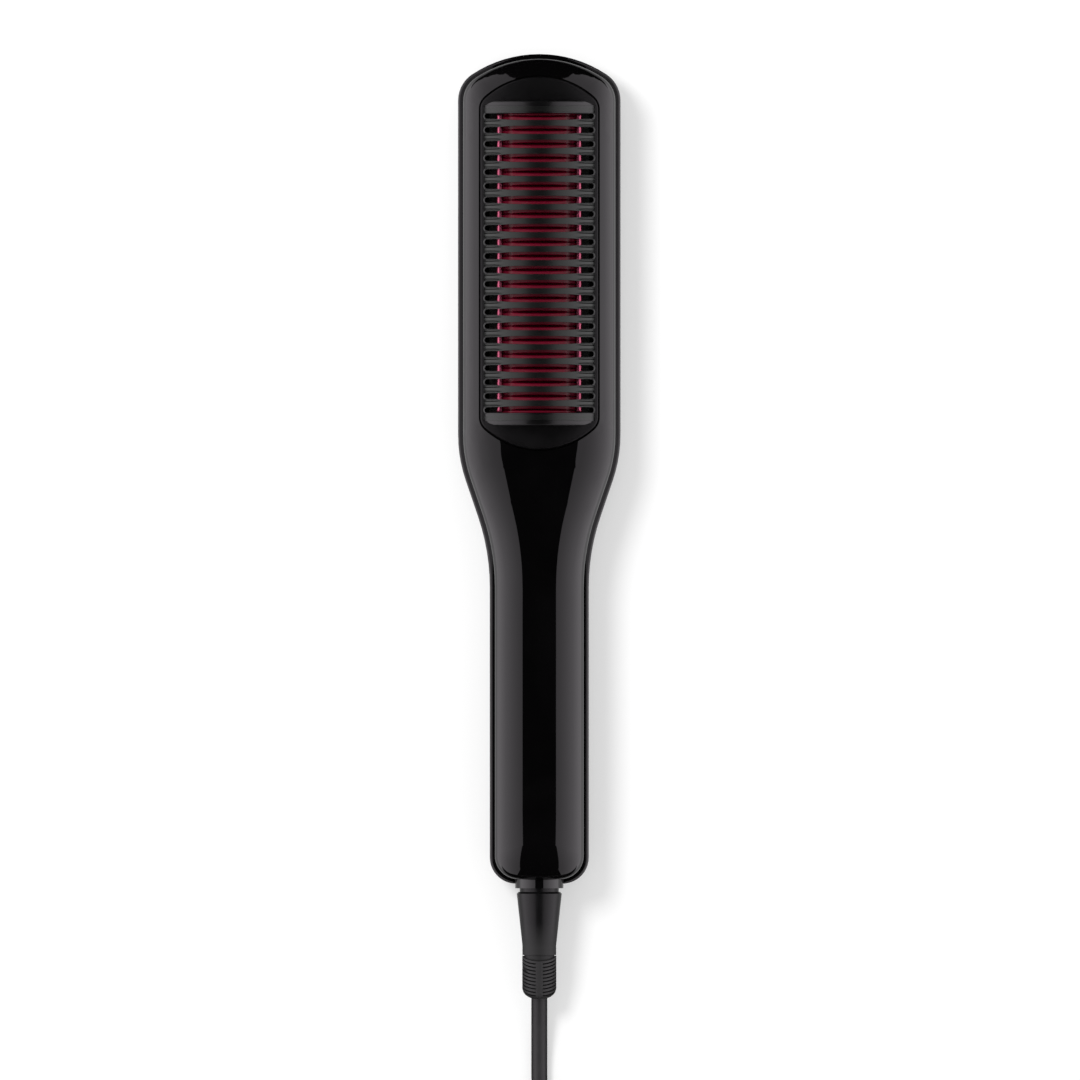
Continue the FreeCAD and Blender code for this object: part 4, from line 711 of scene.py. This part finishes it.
guard_black = finish(
    "guard_black",
    moulded_skin,
    GUARD_SCALES,
    (GUARD_BLACK, GUARD_RUBBED),
    GUARD_ROUGHNESS,
    GUARD_BUMP,
    Specular_Tint=REFLECTION_PAINTED_TINT,
)
dress(guard_black, "comb_guard")
rib_black = finish(
    "rib_black", moulded_skin, GUARD_SCALES, (GUARD_BLACK, GUARD_RUBBED), RIB_ROUGHNESS, GUARD_BUMP
)


def rib_half(x):
    """Half the width of a rib at a place across the comb, both in millimetres."""
    for (near, wide), (far, wider) in zip(RIB_PLAN, RIB_PLAN[1:]):
        if x <= far:
            return wide + (wider - wide) * (x - near) / (far - near)
    return RIB_PLAN[-1][1]


bm = bmesh.new()
shares = [*RIB_SECTION, *[(-share, depth) for share, depth in reversed(RIB_SECTION)]]
corners = [bm.verts.new((0, share * MM, ARCH_CROWN - depth)) for share, depth in shares]
loop = [bm.edges.new(pair) for pair in zip(corners, corners[1:] + corners[:1])]
bmesh.ops.rotate(bm, verts=corners, cent=ARCH_AXIS, matrix=Matrix.Rotation(-ARCH_TURN, 3, "Y"))
bmesh.ops.spin(
    bm, geom=corners + loop, cent=ARCH_AXIS, axis=(0, 1, 0), angle=2 * ARCH_TURN, steps=ARCH_STEPS
)
bmesh.ops.holes_fill(bm, edges=[edge for edge in bm.edges if edge.is_boundary])
for vert in bm.verts:
    out_from_axis = vert.co - ARCH_AXIS
    out_from_axis.y = 0
    depth = ARCH_RADIUS - out_from_axis.length
    if abs(depth - GROOVE_DEPTH) < GROOVE_NEAR:
        lean = math.atan2(abs(out_from_axis.x), out_from_axis.z)
        filled = min(1.0, max(0.0, (ARCH_TURN - GROOVE_KEPT - lean) / GROOVE_FADE))
        vert.co += out_from_axis.normalized() * GROOVE_DEPTH * filled
    vert.co.y *= rib_half(abs(vert.co.x) / MM)
bmesh.ops.translate(bm, vec=(0, first_place("guard_ribs", RIB_FOOT) + PITCH, 0), verts=bm.verts)
repeat(bm, RIB_COUNT, PITCH)
make_piece(bm, "comb_ribs", rib_black, "comb", "satin_black", "guard_ribs")
# The lips' pale grey is a painted highlight along the slot rims.
lip_painted_highlight = finish("lip_painted_highlight", moulded_skin, LIP_SCALES, (LIP_HIGHLIGHT_GREY, LIP_HIGHLIGHT_PALE), LIP_ROUGHNESS, GUARD_BUMP)


def draw_out(bm, edges, shift):
    """Draws edges out straight, and returns the new edges."""
    grown = bmesh.ops.extrude_edge_only(bm, edges=edges)["geom"]
    verts = set(only(bmesh.types.BMVert, grown))
    bmesh.ops.translate(bm, vec=shift, verts=list(verts))
    return [edge for edge in only(bmesh.types.BMEdge, grown) if verts.issuperset(edge.verts)]


bm = bmesh.new()
first_slot = first_place("guard_ribs", RIB_FOOT) + PITCH / 2
slot_end = Vector((LIP_END, first_slot, ARCH_BASE))
bead = bmesh.ops.create_circle(bm, segments=LIP_SIDES, radius=LIP_RADIUS)["verts"]
bmesh.ops.rotate(bm, verts=bead, matrix=Matrix.Rotation(math.pi / 2, 3, "Y"))
bmesh.ops.translate(bm, vec=slot_end + Vector((-LIP_LEG, LIP_PLACE, 0)), verts=bead)
bead = draw_out(bm, bm.edges[:], (LIP_LEG, 0, 0))
bead += list({vert for edge in bead for vert in edge.verts})
turned = bmesh.ops.spin(bm, geom=bead, cent=slot_end, axis=(0, 0, 1), angle=-math.pi, steps=LIP_STEPS)
draw_out(bm, only(bmesh.types.BMEdge, turned["geom_last"]), (-LIP_LEG, 0, 0))
bmesh.ops.holes_fill(bm, edges=[edge for edge in bm.edges if edge.is_boundary])
repeat(bm, SLOT_COUNT, PITCH)
half = bm.verts[:] + bm.edges[:] + bm.faces[:]
bmesh.ops.mirror(bm, geom=half, matrix=Matrix.Identity(4), merge_dist=MERGE, axis="X")
make_piece(bm, "slot_lips", lip_painted_highlight, "comb", "satin_black")

# Front shell: the face of the housing, in the same glossy black plastic, with the comb's window in it.
# It drops inside the rear shell's rim on a tongue and is held by screws from the back.
dress(gloss_black, "front_shell")
dress(zinc_steel, "shell_screws")

# Swivel: a glossy collar clamped between the shells, and a soft matte sleeve that turns in it, moulded
# over a hard hub. The sleeve tapers down to the cord guard; its thin end is rougher, and its paler colour
# there is painted light.
SLEEVE_BLACK = (0.003, 0.003, 0.0032, 1)
SLEEVE_RUBBED = (0.006, 0.006, 0.0062, 1)
SLEEVE_PAINTED_LIGHT = (0.018, 0.018, 0.018, 1)
SLEEVE_SCALES = {"Grain scale": 2000.0, "Mark scale": 70.0}
SLEEVE_ROUGHNESS = (0.28, 0.34)
SLEEVE_BUMP = 0.08
SLEEVE_SPECULAR = 0.3
DULL_ROUGHNESS = 0.54
DULL_AND_PAINTED_LIGHT_START = -138.5 * MM
DULL_AND_PAINTED_LIGHT_END = -147 * MM

boot_black = finish(
    "boot_black",
    moulded_skin,
    SLEEVE_SCALES,
    (SLEEVE_BLACK, SLEEVE_RUBBED),
    SLEEVE_ROUGHNESS,
    SLEEVE_BUMP,
    Specular_IOR_Level=SLEEVE_SPECULAR,
    Specular_Tint=REFLECTION_PAINTED_TINT,
)
sleeve_black = boot_black.copy()
sleeve_black.name = "sleeve_black"
tree = sleeve_black.node_tree
shader = tree.nodes["Principled BSDF"]
# Towards the thin end the roughness rises, which is real, and the colour pales, which is painted light.
painted_light = remap(tree, piece_axes(tree)["Y"], {"From Min": DULL_AND_PAINTED_LIGHT_START, "From Max": DULL_AND_PAINTED_LIGHT_END})
gloss = shader.inputs["Roughness"].links[0].from_socket
dulled = remap(tree, painted_light, {"To Max": DULL_ROUGHNESS}, {"To Min": gloss})
tree.links.new(two_tone(tree, painted_light, (SLEEVE_BLACK, SLEEVE_PAINTED_LIGHT)), shader.inputs["Base Color"])
tree.links.new(dulled, shader.inputs["Roughness"])
dress(gloss_black, "swivel_collar")
dress(sleeve_black, "swivel_sleeve")

# Cord: a round two-core mains lead with a matte black jacket, 1.8 m long. It leaves a ribbed flexible
# guard, lands on the floor, and the length that is not in use is wound in a coil of four layers.
RELIEF_BLACK = (0.018, 0.018, 0.018, 1)
RELIEF_RUBBED = (0.026, 0.026, 0.026, 1)
RELIEF_ROUGHNESS = (0.5, 0.58)
JACKET_BLACK = (0.012, 0.012, 0.012, 1)
JACKET_DUSTY = (0.02, 0.02, 0.02, 1)
JACKET_SCALES = {"Grain scale": 2600.0, "Mark scale": 110.0}
JACKET_ROUGHNESS = (0.5, 0.6)
JACKET_BUMP = 0.12
CORD_DIAMETER = 5.4 * MM
CORD_FLOOR = 2.7 * MM
TURN_PITCH = 6.1 * MM
COIL_LIFT = 1.2 * MM
LEAN = math.radians(22)
GUARD_BALL = Vector((0, -149.425 * MM, 14 * MM))
GUARD_LENGTH = 14.7 * MM
RUN_BEND_Y = -203 * MM
RUN_STEP = 16.5 * MM
ENTRY = math.radians(60)
COIL_INNER = 21.6 * MM
TURN_QUARTERS = 4
LAYER_QUARTERS = (9, 9, 9, 10)
QUARTER_STEPS = 4
TAIL_STEP = 15 * MM
TAIL_SLOPE = math.radians(28)
PLUG_HEIGHT = 7 * MM
ROUTE_ORDER = 3
ROUTE_STEPS = 6
CORD_ROUND_STEPS = 6

relief_black = finish(
    "relief_black",
    moulded_skin,
    SLEEVE_SCALES,
    (RELIEF_BLACK, RELIEF_RUBBED),
    RELIEF_ROUGHNESS,
    SLEEVE_BUMP,
    Specular_Tint=REFLECTION_PAINTED_TINT,
)
dress(relief_black, "cord_guard")
mouth = GUARD_BALL + GUARD_LENGTH * Vector((0, -math.cos(LEAN), -math.sin(LEAN)))
landing = Vector((0, mouth.y - (mouth.z - CORD_FLOOR) / math.tan(LEAN), CORD_FLOOR))
bend = Vector((0, RUN_BEND_Y, CORD_FLOOR))
turn = bend + RUN_STEP * Vector((math.sin(ENTRY / 2), -math.cos(ENTRY / 2), 0))
turn.z += COIL_LIFT
entry = turn + RUN_STEP * Vector((math.sin(ENTRY), -math.cos(ENTRY), 0))


def coil_state(quarter):
    """The radius and the layer height, in pitches, that the winding has reached after some quarter turns."""
    radius = COIL_INNER + TURN_PITCH * LAYER_QUARTERS[0] / TURN_QUARTERS
    height = 0.0
    done = 0
    for layer, quarters in enumerate(LAYER_QUARTERS):
        steps = min(max(quarter - done, 0), quarters)
        radius += (1 if layer % 2 else -1) * TURN_PITCH * steps / TURN_QUARTERS
        done += quarters
        if layer < len(LAYER_QUARTERS) - 1:
            height += min(max((quarter - done + 1) / 2, 0), 1)
    return radius, height


coil_centre = entry - coil_state(0)[0] * Vector((math.cos(ENTRY), math.sin(ENTRY), 0))


def coil_point(quarter, outset):
    """A place on the winding after some quarter turns, with its radius stretched by the outset."""
    radius, height = coil_state(quarter)
    angle = ENTRY - quarter * math.pi / 2
    around = radius * outset * Vector((math.cos(angle), math.sin(angle), 0))
    return coil_centre + around + Vector((0, 0, TURN_PITCH * height))


quarters = sum(LAYER_QUARTERS)
corner_outset = 1 / math.cos(math.pi / (4 * QUARTER_STEPS))
turns = [coil_point(step / QUARTER_STEPS, corner_outset) for step in range(1, quarters * QUARTER_STEPS)]
coil_end = coil_point(quarters, 1.0)
end_angle = ENTRY - quarters * math.pi / 2
tail_way = Vector((math.sin(end_angle), -math.cos(end_angle), 0))
tail_top = coil_end + TAIL_STEP * tail_way
drop = coil_end.z - PLUG_HEIGHT
tail_foot = tail_top + tail_way * drop / math.tan(TAIL_SLOPE) - Vector((0, 0, drop))
cord_end = tail_foot + TAIL_STEP * tail_way
route = [mouth, landing, bend, turn, entry, *turns, coil_end, tail_top, tail_foot, cord_end]

line = bpy.data.curves.new("power_cord", "CURVE")
line.dimensions = "3D"
spline = line.splines.new("NURBS")
spline.points.add(len(route) - 1)
for knot, point in zip(spline.points, route):
    knot.co = (*point, 1.0)
spline.order_u = ROUTE_ORDER
spline.use_endpoint_u = True
line.resolution_u = ROUTE_STEPS
line.bevel_depth = CORD_DIAMETER / 2
line.bevel_resolution = CORD_ROUND_STEPS
line.use_fill_caps = True
cord_black = finish(
    "cord_black",
    moulded_skin,
    JACKET_SCALES,
    (JACKET_BLACK, JACKET_DUSTY),
    JACKET_ROUGHNESS,
    JACKET_BUMP,
    Specular_Tint=REFLECTION_PAINTED_TINT,
)
line.materials.append(cord_black)
power_cord = bpy.data.objects.new("power_cord", line)
bpy.context.scene.collection.objects.link(power_cord)
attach(power_cord, "comb")
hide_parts("cord_run", "cord_coil", "cord_tail")

# Tie: a flat woven strap that goes round all the coil's turns, with its free end laid back over the top
# and pressed down on itself.
STRAP_BLACK = (0.012, 0.012, 0.012, 1)
STRAP_PALE = (0.032, 0.032, 0.032, 1)
TIE_ANGLE = math.radians(195)
TIE_WIDTH = 6.0 * MM
TIE_THICK = 0.6 * MM
TIE_SLACK = 0.3 * MM
TIE_ROOM = CORD_DIAMETER / 2 + TIE_SLACK
TIE_ROUND = 3.0 * MM
TIE_ROUND_STEPS = 6
TIE_OVERLAP = 4.0 * MM
TIE_TUCK = 5.0 * MM
THREADS = {"Scale": 420.0, "Distortion": 0.5, "Detail": 1.0}
THREAD_RELIEF = {"Strength": 0.6, "Distance": 0.15 * MM}
STRAP_FRAY = {"To Min": 0.9, "To Max": 0.75}
STRAP_SHEEN = 0.2


def reckon(tree, operation, *terms):
    """The outcome of an operation on sockets and plain numbers."""
    node = add(tree, "ShaderNodeMath", operation=operation)
    for socket, term in zip(node.inputs, terms):
        if isinstance(term, bpy.types.NodeSocket):
            tree.links.new(term, socket)
        else:
            socket.default_value = term
    return node.outputs["Value"]


strap_black = bpy.data.materials.new("strap_black")
strap_black.use_nodes = True
tree = strap_black.node_tree
shader = tree.nodes["Principled BSDF"]
place = add(tree, "ShaderNodeTexCoord").outputs["Object"]
turned = add(tree, "ShaderNodeMapping", {"Vector": place}, {"Rotation": (0, 0, -TIE_ANGLE)})
split = add(tree, "ShaderNodeSeparateXYZ", {"Vector": turned.outputs["Vector"]}).outputs
run = reckon(tree, "ADD", split["X"], split["Z"])
laid = add(tree, "ShaderNodeCombineXYZ", {"X": run, "Y": split["Y"]}).outputs["Vector"]
threads = [
    add(tree, "ShaderNodeTexWave", {"Vector": laid}, THREADS, bands_direction=way).outputs["Fac"]
    for way in ("X", "Y")
]
weave = reckon(tree, "MAXIMUM", *threads)
relief = add(tree, "ShaderNodeBump", {"Height": weave}, THREAD_RELIEF)
tree.links.new(two_tone(tree, weave, (STRAP_BLACK, STRAP_PALE)), shader.inputs["Base Color"])
tree.links.new(remap(tree, weave, STRAP_FRAY), shader.inputs["Roughness"])
tree.links.new(relief.outputs["Normal"], shader.inputs["Normal"])
shader.inputs["Sheen Weight"].default_value = STRAP_SHEEN

near = COIL_INNER - TIE_ROOM - TIE_THICK
far = coil_state(0)[0] + TIE_ROOM + TIE_THICK
inner_lap = CORD_FLOOR + COIL_LIFT + TURN_PITCH * (len(LAYER_QUARTERS) - 1) + CORD_DIAMETER / 2 + TIE_THICK
outer_lap = inner_lap + TIE_THICK
strap_line = [
    (near + TIE_TUCK, inner_lap),
    (far, inner_lap),
    (far, 0),
    (near, 0),
    (near, outer_lap),
    (far - TIE_OVERLAP, outer_lap),
]
bm = bmesh.new()
stations = [bm.verts.new((x, -TIE_WIDTH / 2, z)) for x, z in strap_line]
draw_out(bm, [bm.edges.new(pair) for pair in zip(stations, stations[1:])], (0, TIE_WIDTH, 0))
folds = [edge for edge in bm.edges if len(edge.link_faces) == 2]
bmesh.ops.bevel(
    bm, geom=folds, offset=TIE_ROUND, segments=TIE_ROUND_STEPS, profile=0.5, affect="EDGES", material=-1
)
bmesh.ops.recalc_face_normals(bm, faces=bm.faces)
bmesh.ops.solidify(bm, geom=bm.faces[:], thickness=TIE_THICK)
bmesh.ops.rotate(bm, verts=bm.verts, matrix=Matrix.Rotation(TIE_ANGLE, 3, "Z"))
bmesh.ops.translate(bm, vec=(coil_centre.x, coil_centre.y, 0), verts=bm.verts)
coil_strap = make_piece(bm, "coil_strap", strap_black, "comb", "strap_black", "cord_tie")

# Plug: a two-blade mains plug moulded on the cord's end in the sleeve's matte black, with raised grips
# on its narrow sides. The blades are stamped brass.
GRIP_COUNT = 5
GRIP_PITCH = 3.0 * MM
GRIP_START = 19.0 * MM
GRIP_SIZE = Vector((1.3, 1.0, 7.0)) * MM
PLUG_HALF_WIDTH = 12.0 * MM
GRIP_EDGE = 0.4 * MM

dress(boot_black, "plug_body")
dress(brass, "plug_blades")
bm = bmesh.new()
for step in range(GRIP_COUNT):
    for side in (-1, 1):
        bar(bm, GRIP_SIZE, Vector((GRIP_START + step * GRIP_PITCH, side * PLUG_HALF_WIDTH, 0)), GRIP_EDGE)
plug_turn = Matrix.Rotation(math.atan2(tail_way.y, tail_way.x), 3, "Z")
bmesh.ops.rotate(bm, verts=bm.verts, matrix=plug_turn)
bmesh.ops.translate(bm, vec=cord_end, verts=bm.verts)
plug_grips = make_piece(bm, "plug_grips", boot_black, "comb", "boot_black")

# Floor: a wide sheet of white board that takes the comb's soft shadow. The eye sees part lit board and
# part plain white, so that the white holds up to the shadow; gloss sees it dark beyond the comb's ends.
FLOOR_WHITE = (0.95, 0.95, 0.95, 1)
FLOOR_HALF = 20.0
PLAIN_SHARE = 0.4
FLOOR_NEAR = 0.03
FLOOR_FAR = 0.12
FLOOR_DIM = 0.45
FLOOR_GLOW = 1.8
FLOOR_MIDDLE = 14 * MM
FLOOR_LIT = 0.14
FLOOR_DARK = 0.165
FLOOR_SPREAD = 0.6


def flat_sheet(name, half_width, half_length, height):
    """A level sheet about the frame's middle."""
    bm = bmesh.new()
    bmesh.ops.create_grid(bm, x_segments=1, y_segments=1, size=1.0)
    bmesh.ops.scale(bm, vec=(half_width, half_length, 1), verts=bm.verts)
    bmesh.ops.translate(bm, vec=(0, 0, height), verts=bm.verts)
    mesh = bpy.data.meshes.new(name)
    bm.to_mesh(mesh)
    bm.free()
    sheet = bpy.data.objects.new(name, mesh)
    bpy.context.scene.collection.objects.link(sheet)
    return sheet


floor = flat_sheet("floor", FLOOR_HALF, FLOOR_HALF, 0)

white_board = bpy.data.materials.new("white_board")
white_board.use_nodes = True
tree = white_board.node_tree
lit = tree.nodes["Principled BSDF"]
lit.inputs["Base Color"].default_value = FLOOR_WHITE
lit.inputs["Roughness"].default_value = 1.0
lit.inputs["Specular IOR Level"].default_value = 0.0
path = add(tree, "ShaderNodeLightPath").outputs
spot = piece_axes(tree)
ahead = reckon(tree, "ABSOLUTE", reckon(tree, "SUBTRACT", spot["Y"], FLOOR_MIDDLE))
aside = reckon(tree, "ABSOLUTE", spot["X"])
reach = reckon(tree, "SUBTRACT", ahead, reckon(tree, "MULTIPLY", aside, FLOOR_SPREAD))
# For gloss the board glows: dim close beside the comb as painted shade, brighter further out, and dark
# beyond the comb's ends.
rise = {"From Min": FLOOR_NEAR, "From Max": FLOOR_FAR, "To Min": FLOOR_DIM, "To Max": FLOOR_GLOW}
glow = remap(tree, aside, rise)
fade = {"From Min": FLOOR_LIT, "From Max": FLOOR_DARK, "To Max": 0.0}
glow = remap(tree, reach, fade, {"To Min": glow})
shown = remap(tree, path["Is Glossy Ray"], {"To Min": 1.0}, {"To Max": glow})
plain = add(tree, "ShaderNodeEmission", {"Strength": shown})
seen = reckon(tree, "MAXIMUM", path["Is Camera Ray"], path["Is Transmission Ray"])
lightened = remap(tree, seen, {"To Max": PLAIN_SHARE})
share = reckon(tree, "MAXIMUM", lightened, path["Is Glossy Ray"])
mixed = add(
    tree, "ShaderNodeMixShader", {"Fac": share, 1: lit.outputs["BSDF"], 2: plain.outputs["Emission"]}
)
tree.links.new(mixed.outputs["Shader"], tree.nodes["Material Output"].inputs["Surface"])
floor.data.materials.append(white_board)

# Studio: a white tent that is brighter to the sides and black at its ends, and a narrow black card close
# above the comb that only gloss sees. They draw the dark bands. A round lamp casts the shadow.
TENT_WHITE = (1, 1, 1, 1)
TENT_FILL = 0.78
SIDE_LOW = 0.6
SIDE_HIGH = 1.95
TIP_SLOPE_LOW = 0.95
TIP_SLOPE_HIGH = 0.152
CORD_SLOPE = 0.1
CARD_COLOUR = (0, 0, 0, 1)
CARD_HEIGHT = 63 * MM
CARD_HALF_WIDTH = 15.85 * MM
CARD_HALF_LENGTH = 0.4
LAMP_PLACE = Vector((-0.7, 0.55, 1.4))
LAMP_SIZE = 0.55
LAMP_POWER = 16.2

studio = bpy.data.worlds.new("studio")
bpy.context.scene.world = studio
studio.use_nodes = True
tree = studio.node_tree
towards = add(tree, "ShaderNodeTexCoord").outputs["Generated"]
way = add(tree, "ShaderNodeSeparateXYZ", {"Vector": towards}).outputs
side = reckon(tree, "ABSOLUTE", way["X"])
slope = remap(tree, way["Z"], {"From Min": -1.0, "To Min": TIP_SLOPE_LOW, "To Max": TIP_SLOPE_HIGH})
tip_end = reckon(tree, "MULTIPLY", way["Y"], slope)
handle_end = reckon(tree, "MULTIPLY", way["Y"], -CORD_SLOPE)
limit = reckon(tree, "MAXIMUM", tip_end, handle_end)
clear = reckon(tree, "GREATER_THAN", side, limit)
glow = remap(tree, reckon(tree, "MULTIPLY", side, side), {"To Min": SIDE_LOW, "To Max": SIDE_HIGH})
panels = reckon(tree, "MULTIPLY", clear, glow)
path = add(tree, "ShaderNodeLightPath").outputs
eye = reckon(tree, "MAXIMUM", path["Is Camera Ray"], path["Is Transmission Ray"])
backdrop = remap(tree, eye, {"To Min": TENT_FILL})
tent = remap(tree, path["Is Glossy Ray"], {}, {"To Min": backdrop, "To Max": panels})
tree.links.new(tent, tree.nodes["Background"].inputs["Strength"])
tree.nodes["Background"].inputs["Color"].default_value = TENT_WHITE

card_black = bpy.data.materials.new("card_black")
card_black.use_nodes = True
shader = card_black.node_tree.nodes["Principled BSDF"]
shader.inputs["Base Color"].default_value = CARD_COLOUR
shader.inputs["Specular IOR Level"].default_value = 0.0
black_card = flat_sheet("black_card", CARD_HALF_WIDTH, CARD_HALF_LENGTH, CARD_HEIGHT)
black_card.data.materials.append(card_black)
black_card.visible_camera = False
black_card.visible_diffuse = False
black_card.visible_transmission = False
black_card.visible_shadow = False

bulb = bpy.data.lights.new("soft_lamp", "AREA")
bulb.shape = "DISK"
bulb.size = LAMP_SIZE
bulb.energy = LAMP_POWER
soft_lamp = bpy.data.objects.new("soft_lamp", bulb)
soft_lamp.location = LAMP_PLACE
soft_lamp.rotation_euler = (-LAMP_PLACE).to_track_quat("-Z", "Y").to_euler()
soft_lamp.visible_camera = False
soft_lamp.visible_glossy = False
bpy.context.scene.collection.objects.link(soft_lamp)

# Camera: straight above and far away, so that the comb shows almost no perspective. The width of the
# picture is measured at the height where the shells part.
SENSOR_WIDTH = 36.0
FAR_CLIP = 50.0
FRAME_WIDTH = 364.34 * MM
CAMERA_HEIGHT = 12.0
PARTING_HEIGHT = 14 * MM
CAMERA_X = 0.24 * MM
CAMERA_Y = -9.43 * MM

lens = bpy.data.cameras.new("camera")
lens.sensor_width = SENSOR_WIDTH
lens.lens = SENSOR_WIDTH * (CAMERA_HEIGHT - PARTING_HEIGHT) / FRAME_WIDTH
lens.clip_end = FAR_CLIP
camera = bpy.data.objects.new("camera", lens)
camera.location = (CAMERA_X, CAMERA_Y, CAMERA_HEIGHT)
bpy.context.scene.collection.objects.link(camera)
bpy.context.scene.camera = camera
bpy.context.scene.view_settings.view_transform = "Standard"
